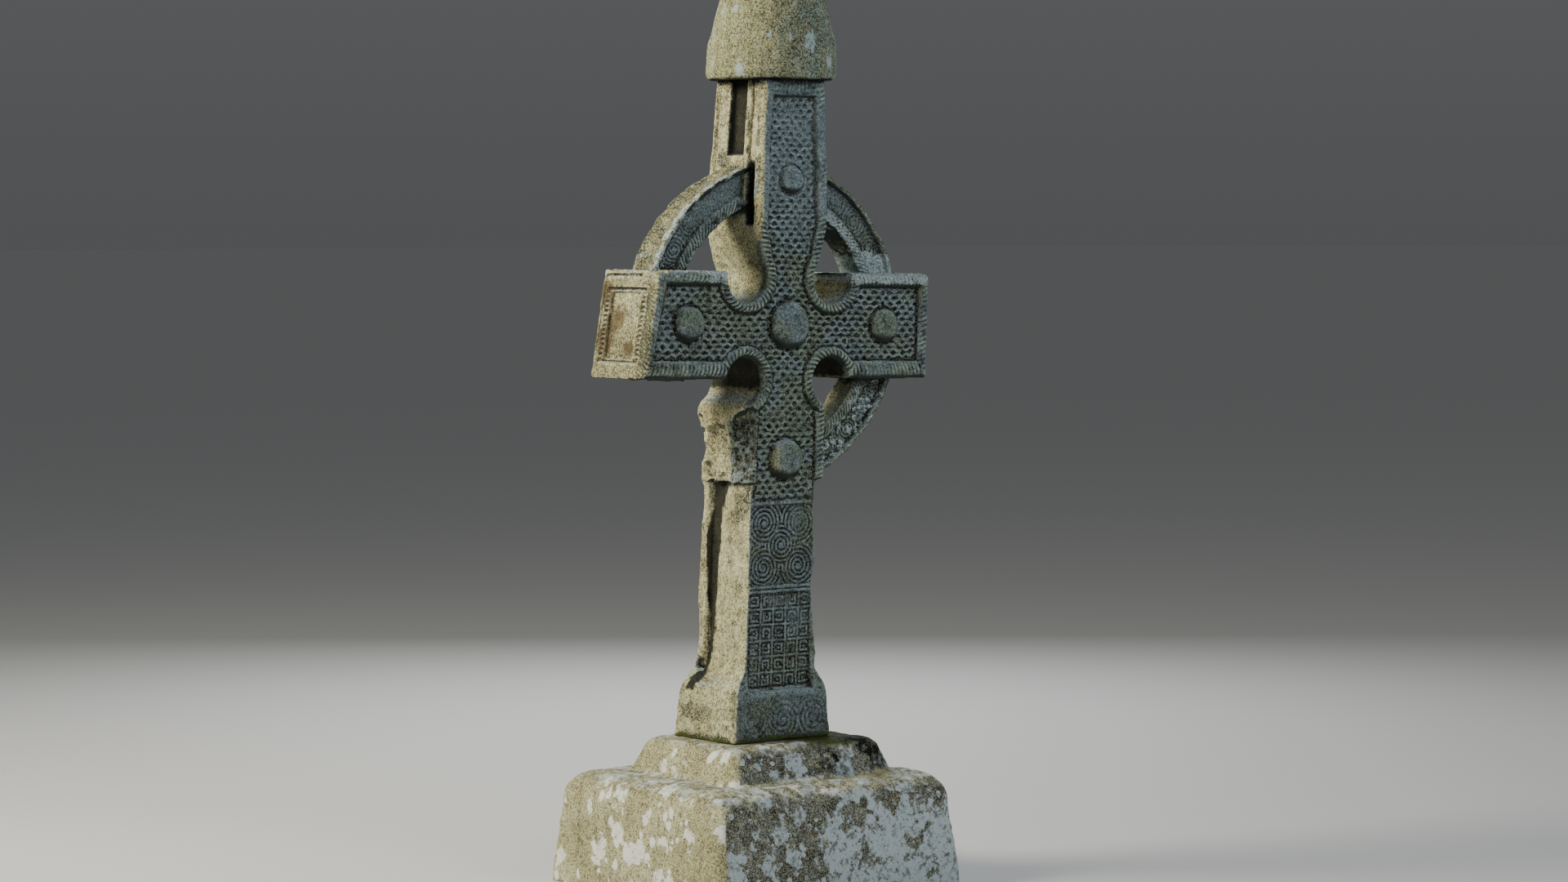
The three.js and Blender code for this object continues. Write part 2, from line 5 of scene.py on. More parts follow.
import math
import bpy
import numpy as np
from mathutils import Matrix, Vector


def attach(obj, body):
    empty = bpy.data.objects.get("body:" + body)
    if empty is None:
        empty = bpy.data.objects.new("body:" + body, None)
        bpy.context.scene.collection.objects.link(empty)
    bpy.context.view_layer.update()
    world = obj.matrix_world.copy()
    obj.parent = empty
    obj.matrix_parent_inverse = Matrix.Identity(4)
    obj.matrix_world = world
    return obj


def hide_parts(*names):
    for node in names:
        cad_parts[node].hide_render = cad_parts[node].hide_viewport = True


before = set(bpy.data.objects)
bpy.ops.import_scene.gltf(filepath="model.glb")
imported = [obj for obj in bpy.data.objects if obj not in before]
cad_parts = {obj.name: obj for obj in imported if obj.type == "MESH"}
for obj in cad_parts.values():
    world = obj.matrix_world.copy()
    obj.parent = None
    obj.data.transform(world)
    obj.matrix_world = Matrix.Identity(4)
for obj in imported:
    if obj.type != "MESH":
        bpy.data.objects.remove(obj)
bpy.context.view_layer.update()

# The view and the light: the cross is seen from off its front left corner, a little from above, on a plain
# pale floor. A warm lamp stands on its left, and wide cool ones in front and behind fill the shade.

EYE = Vector((-9.8806, -12.3789, 2.5505))
LOOK_ROUND = math.radians(39.0)
LOOK_DOWN = math.radians(3.0)
LENS_MM = 93.75

camera_data = bpy.data.cameras.new("camera")
camera_data.lens = LENS_MM
camera_data.sensor_width = 36.0
camera_data.clip_end = 1000.0
camera = bpy.data.objects.new("camera", camera_data)
look = Vector((
    math.sin(LOOK_ROUND) * math.cos(LOOK_DOWN),
    math.cos(LOOK_ROUND) * math.cos(LOOK_DOWN),
    -math.sin(LOOK_DOWN),
))
camera.location = EYE
camera.rotation_euler = look.to_track_quat("-Z", "Y").to_euler()
bpy.context.scene.collection.objects.link(camera)
bpy.context.scene.camera = camera


def area_light(name, place, aim, size, power, colour):
    """A soft round lamp that looks from its place to its aim."""
    data = bpy.data.lights.new(name, "AREA")
    data.shape = "DISK"
    data.size = size
    data.energy = power
    data.color = colour
    light = bpy.data.objects.new(name, data)
    light.location = place
    light.rotation_euler = (Vector(aim) - Vector(place)).to_track_quat("-Z", "Y").to_euler()
    bpy.context.scene.collection.objects.link(light)


MIDDLE = (0.0, 0.0, 1.9)
area_light("key_light", (-6.2, 2.8, 6.0), MIDDLE, 3.6, 980.0, (1.0, 0.95, 0.80))
area_light("front_light", (1.0, -8.5, 6.0), MIDDLE, 5.0, 390.0, (0.86, 0.93, 1.0))
area_light("back_light", (4.5, 6.0, 5.0), MIDDLE, 4.0, 380.0, (0.95, 0.97, 1.0))

HORIZON_GREY = (0.36, 0.37, 0.38, 1.0)
SKY_GREY = (0.64, 0.66, 0.68, 1.0)
world = bpy.data.worlds.new("studio")
world.use_nodes = True
backdrop = world.node_tree.nodes["Background"]
backdrop.inputs["Strength"].default_value = 0.24
direction = world.node_tree.nodes.new("ShaderNodeTexCoord")
split_direction = world.node_tree.nodes.new("ShaderNodeSeparateXYZ")
world.node_tree.links.new(direction.outputs["Generated"], split_direction.inputs[0])
upwards = world.node_tree.nodes.new("ShaderNodeMapRange")
upwards.inputs["From Max"].default_value = 0.3
world.node_tree.links.new(split_direction.outputs["Z"], upwards.inputs["Value"])
blend = world.node_tree.nodes.new("ShaderNodeMix")
blend.data_type = "RGBA"
blend.inputs[6].default_value = HORIZON_GREY
blend.inputs[7].default_value = SKY_GREY
world.node_tree.links.new(upwards.outputs["Result"], blend.inputs[0])
world.node_tree.links.new(blend.outputs[2], backdrop.inputs["Color"])
bpy.context.scene.world = world

FLOOR_HALF = 400.0
floor_corners = [(FLOOR_HALF * i, FLOOR_HALF * j, 0.0) for i, j in ((-1, -1), (1, -1), (1, 1), (-1, 1))]
floor_mesh = bpy.data.meshes.new("floor")
floor_mesh.from_pydata(floor_corners, [], [(0, 1, 2, 3)])
floor = bpy.data.objects.new("floor", floor_mesh)
floor_finish = bpy.data.materials.new("pale_floor")
floor_finish.use_nodes = True
floor_shader = floor_finish.node_tree.nodes["Principled BSDF"]
floor_shader.inputs["Base Color"].default_value = (0.56, 0.56, 0.55, 1.0)
floor_shader.inputs["Roughness"].default_value = 0.85
floor_mesh.materials.append(floor_finish)
bpy.context.scene.collection.objects.link(floor)

# The ringed cross: one block of sandstone, from the collar that stands on the plinth up to the seat of the
# cap. Its outline was sawn out first, then the mouldings, bosses and interlace were cut into both faces. The
# lower left quarter of the ring has broken off and left a scar, and every edge is worn.

MM = 0.001
HEAD_Z = 2174.0
FOOT_Z = 570.3
TOP_Z = 3116.0
ARM_HALF = 700.0
ARM_RISE = 202.0
ARM_DROP = 208.0
HOLLOW_X = 210.0
HIGH_HOLLOW_Z = 180.0
LOW_HOLLOW_Z = -214.0
HIGH_HOLLOW = 97.0
LOW_HOLLOW = 90.0
CABLE_FOOT = -600.0
CABLE_HALF = 189.0
FIELD_FOOT = -672.0
UPPER_HALF = 168.0
UPPER_TOP_HALF = 149.0
EDGE_ROLL = 46.0
HOLLOW_ROLL = 42.0
ARM_TOP_ROLL = 52.0
ARM_FOOT_ROLL = 68.0
ARM_END_ROLL = 50.0
TOP_FRAME = 66.0
RING_OUTER = 630.0
RING_INNER = 477.0
RING_HALF = 72.0
RING_RISE = -4.0
RING_MIDDLE = 565.0


def rise(low, high, value):
    """0 below low, 1 above high, and a soft step between them. low may be the larger of the two."""
    share = np.clip((value - low) / (high - low), 0.0, 1.0)
    return share * share * (3.0 - 2.0 * share)


def bump(distance, half):
    """A rounded ridge along distance 0 that is level with the ground at half."""
    return np.sqrt(np.clip(1.0 - (distance / half) ** 2, 0.0, 1.0))


def larger(a, b, soft):
    """The larger of two values, blended where they are closer than soft."""
    gap = np.clip(1.0 - np.abs(a - b) / soft, 0.0, 1.0)
    return np.maximum(a, b) + gap * gap * soft / 4.0


def smaller(a, b, soft):
    return -larger(-a, -b, soft)


def mix(a, b, share):
    return a + (b - a) * share


def random_lattice(low, high, cell, seed):
    """Random values in -1 to 1 at the corners of cells that fill a box."""
    shape = [int((top - bottom) / cell) + 4 for bottom, top in zip(low, high)]
    values = np.random.default_rng(seed).uniform(-1.0, 1.0, shape).astype(np.float32)
    return values, low, cell


def noise_on(lattice, *lines):
    """The lattice's values, smoothed, on the grid of these lines of coordinates."""
    values, low, cell = lattice
    for axis, line in enumerate(lines):
        place = (line - low[axis]) / cell
        whole = np.floor(place).astype(int)
        share = (place - whole).astype(np.float32)
        share = share * share * (3.0 - 2.0 * share)
        share = share.reshape([-1 if i == axis else 1 for i in range(values.ndim)])
        first = np.take(values, whole, axis)
        values = first + (np.take(values, whole + 1, axis) - first) * share
    return values


def outline_distance(points, x, z):
    """Distance to a closed outline, negative inside, and how far along it the nearest point lies."""
    shape = np.broadcast(x, z).shape
    nearest = np.full(shape, 1e9, np.float32)
    along = np.zeros(shape, np.float32)
    inside = np.zeros(shape, bool)
    run = 0.0
    for (ax, az), (bx, bz) in zip(points, points[1:] + points[:1]):
        ex, ez = bx - ax, bz - az
        length = math.hypot(ex, ez)
        if length < 1e-6:
            continue
        t = np.clip(((x - ax) * ex + (z - az) * ez) / length**2, 0.0, 1.0)
        gap = np.hypot(x - ax - t * ex, z - az - t * ez)
        closer = gap < nearest
        nearest = np.where(closer, gap, nearest)
        along = np.where(closer, run + t * length, along)
        if az != bz:
            inside ^= ((az > z) != (bz > z)) & (x < ex * (z - az) / ez + ax)
        run += length
    return np.where(inside, -nearest, nearest), along


def arc(centre_x, centre_z, radius, start, end, steps):
    angles = np.linspace(start, end, steps + 1)
    return [(centre_x + radius * math.cos(a), centre_z + radius * math.sin(a)) for a in angles]


def head_edge(side, share):
    """One side of the head, from the cable's foot up. share 0 is the outline and 1 the field's edge."""
    edge = share * EDGE_ROLL
    low_radius = LOW_HOLLOW + share * HOLLOW_ROLL
    high_radius = HIGH_HOLLOW + share * HOLLOW_ROLL
    arm_foot = -ARM_DROP + share * ARM_FOOT_ROLL
    arm_top = ARM_RISE - share * ARM_TOP_ROLL
    low_end = math.asin((arm_foot - LOW_HOLLOW_Z) / low_radius)
    high_start = math.asin((arm_top - HIGH_HOLLOW_Z) / high_radius)
    end_slant = 48.0 if side < 0 else 0.0
    arm_end = ARM_HALF - share * ARM_END_ROLL
    points = [
        (CABLE_HALF - edge, CABLE_FOOT),
        (CABLE_HALF - 2.0 - edge, -322.0 - edge / 3.0),
        *arc(HOLLOW_X, LOW_HOLLOW_Z, low_radius, math.pi * 1.36, low_end, 14),
        (arm_end + (8.0 if side < 0 else 0.0), arm_foot),
        (arm_end - end_slant, arm_top),
        *arc(HOLLOW_X, HIGH_HOLLOW_Z, high_radius, high_start, -math.pi * 1.2, 16),
        (UPPER_HALF - 14.0 - edge, 308.0 + edge / 3.0),
        (UPPER_HALF - edge, 372.0),
        (UPPER_HALF - 3.0 - edge, 622.0),
        (UPPER_TOP_HALF - edge, TOP_Z - HEAD_Z + 40.0),
    ]
    return [(side * x, HEAD_Z + z) for x, z in points]


def shaft_edge(side):
    """One side of the shaft from its foot to the foot of the cable. The right edge is worn wavy."""
    flare = [(570.0, 237.0), (690.0, 229.0), (745.0, 223.0), (780.0, 214.0), (806.0, 198.0), (840.0, 180.0)]
    if side > 0:
        upper = [(900.0, 186.0), (960.0, 178.0), (1020.0, 168.0), (1090.0, 162.0), (1160.0, 158.0)]
        upper += [(1235.0, 167.0), (1320.0, 165.0), (1400.0, 160.0), (1490.0, 158.0), (1562.0, 161.0)]
    else:
        upper = [(880.0, 168.0), (960.0, 162.0), (1200.0, 161.0), (1562.0, 161.0)]
    return [(side * x, z) for z, x in flare + upper]


# The grid that the stone is worked out on, a little larger than the stone itself. h is the height from the
# middle of the head.
GRID_HALF_X = 730.0
GRID_HALF_Y = 232.0
step = 4.0
grid_x = np.arange(-GRID_HALF_X, GRID_HALF_X + step, step).astype(np.float32)
grid_y = np.arange(-GRID_HALF_Y, GRID_HALF_Y + step, step).astype(np.float32)
grid_z = np.arange(FOOT_Z - 2.5 * step, TOP_Z + 3.0 * step, step).astype(np.float32)
x = grid_x[:, None]
z = grid_z[None, :]
h = z - HEAD_Z

whole_outline = shaft_edge(1) + head_edge(1, 0.0) + (shaft_edge(-1) + head_edge(-1, 0.0))[::-1]
outline, _ = outline_distance(whole_outline, x, z)
roll_line = head_edge(1, 0.5) + head_edge(-1, 0.5)[::-1]
_, along_roll = outline_distance(roll_line, x, z)
field_right = head_edge(1, 1.0)
field_left = head_edge(-1, 1.0)
for edge_points in (field_right, field_left):
    edge_points[0] = (edge_points[0][0], HEAD_Z + FIELD_FOOT)
    edge_points[-1] = (edge_points[-1][0], TOP_Z - TOP_FRAME)
field, _ = outline_distance(field_right + field_left[::-1], x, z)

# How far the mouldings stand out, and where each lies between the outline (0) and the carved field (1)
across_roll = np.clip(-outline, 0.0, None) / (np.clip(-outline, 0.0, None) + np.clip(field, 0.01, None))
foot_fade = np.where(x < -120.0, 44.0, 4.0)
in_head = rise(HEAD_Z + CABLE_FOOT - foot_fade, HEAD_Z + CABLE_FOOT + 4.0, z)
roll_height = np.sin(np.pi * np.clip(across_roll, 0.03, 0.97)) ** 0.75
STRAND = 19.0
STRAND_SLANT = 0.9
STRAND_SINK = 9.0
CABLE_RISE = 18.0
PLAIN_ROLL_RISE = 14.0
strand_turn = along_roll / STRAND + np.where(x > 0, 1.0, -1.0) * STRAND_SLANT * (across_roll - 0.5)
strand = np.abs(((strand_turn % 1.0) - 0.5) * 2.0)
strand_gap = np.exp(-(((1.0 - strand) / 0.5) ** 2))

# The worn places of the cables: most of the arm tops, the upper shaft and half of the arm feet
face_low = (-760.0, 500.0)
face_high = (760.0, 3200.0)
wear = noise_on(random_lattice(face_low, face_high, 150.0, 5), grid_x, grid_z)
on_upper = rise(380.0, 470.0, h)
on_arm = rise(330.0, 380.0, np.abs(x)) * (1.0 - rise(230.0, 260.0, np.abs(h)))
crispness = np.clip(0.95 + 0.5 * wear - 0.8 * on_upper - 0.3 * on_arm, 0.15, 1.1)
cable = CABLE_RISE * roll_height - STRAND_SINK * crispness * strand_gap * roll_height

# How deep the two faces are, level by level: collar, shaft, head, upper arm
strip_face = np.interp(grid_z, [570, 742, 772, 800, 900, 1000, 1560], [197, 187, 181, 168, 159, 156, 155])
back_levels = [570, 742, 772, 800, 850, 924, 1009, 1139, 1294, 1379, 1465, 1560]
back_strip = np.interp(grid_z, back_levels, [197, 187, 183, 176, 160, 151, 158, 170, 160, 155, 149, 150])
shaft_face = np.interp(grid_z, [570, 752, 762, 770, 1560], [197, 187, 182, 152, 152])
moulding_face = np.interp(grid_z, [1560, 1590, 2770, 2860, 3116], [155, 162, 161, 150, 147])[None, :]
arm_field = rise(300.0, 306.0, x) + rise(-384.0, -390.0, x)
field_floor = np.interp(grid_z, [1502, 1560, 2000, 2550, 2800, 3116], [150, 150, 149, 145, 135, 131])[None, :]
field_floor = field_floor - 6.0 * arm_field * (np.abs(h) < 210.0)


def interlace(x, z, pitch, edge, rib, seed):
    """Woven ribs, 0 to 1 high. They cross over and under, and turn back at random and at the edge."""
    a = (x + z) / (2.0 * pitch)
    b = (z - x) / (2.0 * pitch)
    cell_a = np.floor(a)
    cell_b = np.floor(b)
    u = a - cell_a - 0.5
    v = b - cell_b - 0.5
    middle_x = (cell_a - cell_b) * pitch
    middle_z = (cell_a + cell_b + 1.0) * pitch
    mirror_x = np.abs(middle_x)
    draw = np.sin(mirror_x * 12.9898 + middle_z * 78.233 + seed) * 43758.5453
    draw = draw - np.floor(draw)
    column = np.clip(np.round((middle_x - grid_x[0]) / step).astype(int), 1, len(grid_x) - 2)
    row = np.clip(np.round((middle_z - grid_z[0]) / step).astype(int), 1, len(grid_z) - 2)
    near_edge = edge[column, row] > -0.75 * pitch
    steep_x = np.abs(edge[column + 1, row] - edge[column - 1, row])
    steep_z = np.abs(edge[column, row + 1] - edge[column, row - 1])
    upright = np.where(near_edge, steep_x > steep_z, draw < 0.24)
    level = np.where(near_edge, steep_x <= steep_z, draw > 0.78)
    over = (cell_a + cell_b) % 2 == 0
    along_a = bump(v, rib)
    along_b = bump(u, rib)
    weave = np.where(
        over,
        np.maximum(along_a, 0.62 * along_b * (np.abs(v) > rib)),
        np.maximum(along_b, 0.62 * along_a * (np.abs(u) > rib)),
    )
    weave = np.maximum(weave, 0.8 * np.maximum(along_a * (np.abs(u) > 0.36), along_b * (np.abs(v) > 0.36)))
    turn_x = np.minimum(np.hypot(u - 0.5, v + 0.5), np.hypot(u + 0.5, v - 0.5))
    turn_z = np.minimum(np.hypot(u - 0.5, v - 0.5), np.hypot(u + 0.5, v + 0.5))
    weave = np.where(upright, bump(turn_x - 0.5, rib), weave)
    return np.where(level, bump(turn_z - 0.5, rib), weave)


# The interlace wanders off its even grid, and its ribs are cut wider here and narrower there
KNOT_PITCH = 21.5
KNOT_WANDER = 5.5
KNOT_DEPTH = 13.0
BACK_KNOT_DEPTH = 6.0
unsteady_x = KNOT_WANDER * noise_on(random_lattice(face_low, face_high, 58.0, 31), grid_x, grid_z)
unsteady_z = KNOT_WANDER * noise_on(random_lattice(face_low, face_high, 58.0, 32), grid_x, grid_z)
rib_width = 0.31 + 0.07 * noise_on(random_lattice(face_low, face_high, 40.0, 33), grid_x, grid_z)
knots = interlace(x + unsteady_x, h + unsteady_z, KNOT_PITCH, field, rib_width, 3.0)
knot_wear = 0.85 + 0.5 * noise_on(random_lattice(face_low, face_high, 90.0, 11), grid_x, grid_z)
knot_wear = np.clip(knot_wear, 0.35, 1.0)
knot_fade = rise(0.0, -7.0, field)


def boss(x, h, centre_x, centre_h, radius, height):
    """A stone knob with steep sides and a domed top, the groove round it, and its reach at each place."""
    reach = np.hypot(x - centre_x, h - centre_h) / radius
    dome = height * np.clip(1.0 - reach**3.2, 0.0, 1.0) ** 0.5
    groove = -5.0 * np.exp(-(((reach - 1.1) / 0.07) ** 2))
    return dome, groove, reach


# The five knobs: centre, up from the middle of the head, radius, and how far each stands out
HIGH_KNOB = 558.0
LOW_KNOB = -516.0
BOSSES = (
    (0.0, 0.0, 92.0, 54.0),
    (-481.0, 2.0, 68.0, 50.0),
    (481.0, 0.0, 68.0, 50.0),
    (0.0, HIGH_KNOB, 54.0, 40.0),
    (0.0, LOW_KNOB, 76.0, 54.0),
)
KNOB_COLLAR = 75.0


def carved_field(floor, depth, boss_share):
    """The sunk field with its interlace, the knobs, and the thin collar cut round the highest knob."""
    face = floor + depth * knots * knot_wear * knot_fade
    for centre_x, centre_h, radius, height in BOSSES:
        dome, groove, reach = boss(x, h, centre_x, centre_h, radius, height * boss_share)
        face = np.where(reach < 1.0, floor + dome, face + groove)
    collar_reach = np.hypot(x, h - HIGH_KNOB) / KNOB_COLLAR
    collar = 9.0 * bump(collar_reach - 0.93, 0.13)
    on_collar = (collar_reach > 0.76) & (collar_reach < 1.1)
    return np.where(on_collar, np.maximum(face, floor + collar), face)


def spirals(x, z, centres, pitch):
    """Ridges that wind round the nearest of the centres, -1 to 1 high."""
    best = np.full(np.broadcast(x, z).shape, 1e9)
    height = np.zeros(best.shape)
    for centre_x, centre_z, hand in centres:
        dx, dz = x - centre_x, z - centre_z
        reach = np.hypot(dx, dz)
        turn = np.arctan2(dz, hand * dx) / (2.0 * np.pi)
        wave = np.cos(2.0 * np.pi * (reach / pitch - turn))
        wave = np.where(reach < 0.6 * pitch, 1.0, wave)
        height = np.where(reach < best, wave, height)
        best = np.minimum(best, reach)
    return height


def key_fret(x, z, cell, pitch):
    """Square hooks, one in each cell, that open to a different side in each neighbour."""
    column = np.floor(x / cell)
    row = np.floor(z / cell)
    u = x - (column + 0.5) * cell
    v = z - (row + 0.5) * cell
    turn = (column + 2.0 * row) % 4
    gap_u = np.select([turn == 0, turn == 1, turn == 2], [u, v, -u], -v)
    gap_v = np.select([turn == 0, turn == 1, turn == 2], [v, -u, -v], u)
    ring = np.maximum(np.abs(u), np.abs(v))
    lines = np.cos(2.0 * np.pi * (ring - cell / 2.0) / pitch)
    opening = (np.abs(gap_v) < pitch * 0.55) & (gap_u > pitch * 0.4) & (gap_u < cell / 2.0 - pitch * 0.4)
    link = (np.abs(gap_v - pitch * 0.75) < pitch * 0.25) & opening
    return np.where(link, 1.0, np.where(opening, -1.0, lines))


# The shaft's panels: a field of worn spirals over a key fret, between flat bands, and spirals on the collar
SCROLL_TOP = 1480.0
SCROLL_FOOT = 1172.0
SCROLL_PITCH = 17.0
FRET_TOP = 1140.0
FRET_FOOT = 772.0
FRET_CELL = 61.5
FRET_PITCH = 15.4
COLLAR_PITCH = 21.0
PANEL_HALF = 152.0
SCROLL_RISE = 3.8
FRET_RISE = 3.4
BAND_RISE = 5.0
COLLAR_RISE = 2.2
scroll_centres = [
    (-88.0, 1412.0, 1), (84.0, 1410.0, -1), (-2.0, 1326.0, 1), (-86.0, 1240.0, -1), (86.0, 1242.0, 1),
]
scroll_mask = rise(PANEL_HALF, PANEL_HALF - 6.0, np.abs(x)) * rise(SCROLL_FOOT, SCROLL_FOOT + 6.0, z)
scroll_mask = scroll_mask * rise(SCROLL_TOP, SCROLL_TOP - 6.0, z)
scroll_relief = SCROLL_RISE * spirals(x, z, scroll_centres, SCROLL_PITCH) - 2.0
fret_mask = rise(PANEL_HALF + 4.0, PANEL_HALF - 2.0, np.abs(x)) * rise(FRET_FOOT, FRET_FOOT + 5.0, z)
fret_mask = fret_mask * rise(FRET_TOP, FRET_TOP - 5.0, z)
fret_hooks = key_fret(x + 2.5 * FRET_CELL, z - FRET_FOOT, FRET_CELL, FRET_PITCH)
fret_relief = FRET_RISE * np.clip(1.6 * fret_hooks, -1.0, 1.0) - 1.5
band_lines = sum(BAND_RISE * bump(z - level, 6.5) for level in (1490.0, 1505.0, 1148.0, 1163.0))
band_lines = band_lines * rise(PANEL_HALF + 4.0, PANEL_HALF - 6.0, np.abs(x))
collar_centres = [(-150.0, 655.0, 1), (0.0, 652.0, -1), (150.0, 655.0, 1)]
collar_mask = rise(205.0, 190.0, np.abs(x)) * rise(588.0, 604.0, z) * rise(738.0, 722.0, z)
collar_relief = COLLAR_RISE * spirals(x, z, collar_centres, COLLAR_PITCH) * collar_mask

# The front face is everything above put together, and the back has the same mouldings, plainer and more worn
in_shaft_panel = rise(PANEL_HALF + 8.0, PANEL_HALF + 1.0, np.abs(x)) * rise(1568.0, 1560.0, z)
shaft_front = mix(strip_face[None, :], shaft_face[None, :], in_shaft_panel)
shaft_wear = 0.7 + 0.7 * noise_on(random_lattice(face_low, face_high, 105.0, 12), grid_x, grid_z)
shaft_wear = np.clip(shaft_wear, 0.2, 1.0)
shaft_front = shaft_front + shaft_wear * (scroll_relief * scroll_mask + fret_relief * fret_mask) + band_lines
shaft_front = shaft_front + shaft_wear * collar_relief
in_field = rise(2.0, -3.0, field)
front = mix(shaft_front, moulding_face + cable, in_head)
front = mix(front, carved_field(field_floor, KNOT_DEPTH, 1.0), in_field)
plain_roll = PLAIN_ROLL_RISE * roll_height
back = mix(back_strip[None, :], moulding_face + plain_roll, in_head)
back = mix(back, carved_field(field_floor + 2.0, BACK_KNOT_DEPTH, 0.85), in_field)

# The sides: a deep panel down the shaft with a groove behind it, and beside the upper arm a narrower panel
# between flutes, over a slot behind the front edge
TOP_PANEL_FRONT = -50.0
TOP_PANEL_BACK = 57.0
TOP_PANEL_FOOT = 646.0
TOP_PANEL_SINK = 24.0
FLUTE_SINK = 11.0
SLOT_FRONT = -126.0
SLOT_BACK = -66.0
SLOT_FOOT = 376.0
SLOT_TOP = 640.0
SLOT_SINK = 27.0
GROOVE_SINK = 24.0
y = grid_y[:, None]
side_z = grid_z[None, :]
side_h = side_z - HEAD_Z
panel_foot = 765.0 + 46.0 * (np.clip(np.abs(y - 26.0) / 92.0, 0.0, 1.0)) ** 3
shaft_panel = rise(-70.0, -44.0, y) * rise(panel_foot, panel_foot + 26.0, side_z)
shaft_panel = shaft_panel * rise(1592.0, 1556.0, side_z)
groove_levels = [760, 870, 960, 1040, 1130, 1210, 1350, 1560]
groove_y = np.interp(grid_z, groove_levels, [128, 98, 99, 92, 86, 78, 76, 72])[None, :]
groove_half = np.interp(grid_z, [760, 820, 870, 960, 1130, 1210, 1560], [30, 22, 15, 14, 22, 34, 36])[None, :]
side_floor = 4.0 + 17.0 * rise(-30.0, 60.0, y)
groove = GROOVE_SINK * bump(y - groove_y, groove_half)
side_floor = side_floor * rise(groove_y + groove_half, groove_y + groove_half - 9.0, y)
shaft_sink = shaft_panel * np.maximum(side_floor, groove)

top_panel = TOP_PANEL_SINK * rise(TOP_PANEL_FRONT, TOP_PANEL_FRONT + 10.0, y)
top_panel = top_panel * rise(TOP_PANEL_BACK, TOP_PANEL_BACK - 12.0, y)
top_panel = top_panel * rise(TOP_PANEL_FOOT, TOP_PANEL_FOOT + 18.0, side_h)
top_flutes = FLUTE_SINK * bump(y - 128.0, 15.0) + FLUTE_SINK * bump(y + 86.0, 10.0)
top_flutes = top_flutes + 3.0 * bump(y + 108.0, 18.0)
slot = SLOT_SINK * rise(SLOT_FRONT, SLOT_FRONT + 10.0, y) * rise(SLOT_BACK, SLOT_BACK - 8.0, y)
slot = slot * rise(SLOT_FOOT, SLOT_FOOT + 16.0, side_h) * rise(SLOT_TOP, SLOT_TOP - 40.0, side_h)
side_sink = shaft_sink + top_panel + top_flutes * rise(560.0, 600.0, side_h) + slot

# The arm ends: a sunk panel between two columns of beads, with a groove round them
END_PANEL_FRONT = -84.0
END_PANEL_BACK = 100.0
END_PANEL_FOOT = -138.0
END_PANEL_TOP = 124.0
END_PANEL_SINK = 12.0
BEAD_SPACING = 18.0
BEAD_SINK = 13.0
END_LINE_SINK = 13.0
OUTER_LINE_SINK = 9.0
TEETH_SINK = 7.0
END_STRAND = 15.0
END_SLANT = 0.6
end_panel = END_PANEL_SINK * rise(END_PANEL_FRONT, END_PANEL_FRONT + 5.0, y)
end_panel = end_panel * rise(END_PANEL_BACK, END_PANEL_BACK - 5.0, y)
end_panel = end_panel * rise(END_PANEL_FOOT, END_PANEL_FOOT + 5.0, side_h)
end_panel = end_panel * rise(END_PANEL_TOP, END_PANEL_TOP - 5.0, side_h)
bead_wave = 0.5 + 0.5 * np.cos(2.0 * np.pi * side_h / BEAD_SPACING)
bead_columns = bump(y + 104.0, 15.0) + bump(y - 121.0, 15.0)
bead_columns = bead_columns * rise(-146.0, -140.0, side_h) * rise(132.0, 126.0, side_h)
end_lines = bump(side_h - 129.0, 7.0) + bump(side_h + 143.0, 6.0)
end_lines = END_LINE_SINK * end_lines * rise(-122.0, -112.0, y) * rise(136.0, 126.0, y)
outer_lines = bump(side_h - 183.0, 6.0) * rise(-86.0, -78.0, y) * rise(150.0, 142.0, y)
outer_lines = outer_lines + bump(y - 148.0, 6.0) * rise(-110.0, -60.0, side_h) * rise(186.0, 178.0, side_h)
end_sink = np.maximum(end_panel, BEAD_SINK * bead_columns * (1.0 - 0.8 * bead_wave))
end_teeth = 0.5 - 0.5 * np.cos(2.0 * np.pi * (side_h - END_SLANT * y) / END_STRAND)
end_teeth = TEETH_SINK * rise(-118.0, -134.0, y) * end_teeth
end_sink = np.maximum(end_sink, end_lines) + OUTER_LINE_SINK * outer_lines + end_teeth
end_sink = end_sink * (np.abs(side_h) < 215.0)

# The ring in its own circles: a roll on each rim of its faces, the inner one roped, and a shallow channel of
# small spirals between them
RING_SINK = 20.0
OUTER_ROLL_RISE = 21.0
INNER_ROLL_RISE = 20.0
RING_STRAND = 17.0
RING_SLANT = 0.05
RING_STRAND_SINK = 8.0
RING_SPIRAL_RISE = 1.7
RING_SPIRAL_PITCH = 15.0
SPIRAL_SPACING = math.radians(13.0)
ring_h = h - RING_RISE
ring_reach = np.hypot(x, ring_h)
ring_turn = np.arctan2(ring_h, x)
outer_roll = OUTER_ROLL_RISE * bump(ring_reach - (RING_OUTER - 10.0), 13.0)
inner_turn = ring_turn * RING_INNER / RING_STRAND + RING_SLANT * (ring_reach - RING_INNER)
inner_strand = np.exp(-(((1.0 - np.abs(((inner_turn % 1.0) - 0.5) * 2.0)) / 0.5) ** 2))
inner_roll = bump(ring_reach - (RING_INNER + 23.0), 26.0)
inner_roll = inner_roll * (INNER_ROLL_RISE - RING_STRAND_SINK * inner_strand)
spiral_turn = (np.floor(ring_turn / SPIRAL_SPACING) + 0.5) * SPIRAL_SPACING
spiral_x = (ring_turn - spiral_turn) * RING_MIDDLE
spiral_wave = spirals(spiral_x, ring_reach - RING_MIDDLE, [(0.0, 0.0, 1)], RING_SPIRAL_PITCH)
channel = rise(RING_INNER + 48.0, RING_INNER + 56.0, ring_reach)
channel = channel * rise(RING_OUTER - 30.0, RING_OUTER - 36.0, ring_reach)
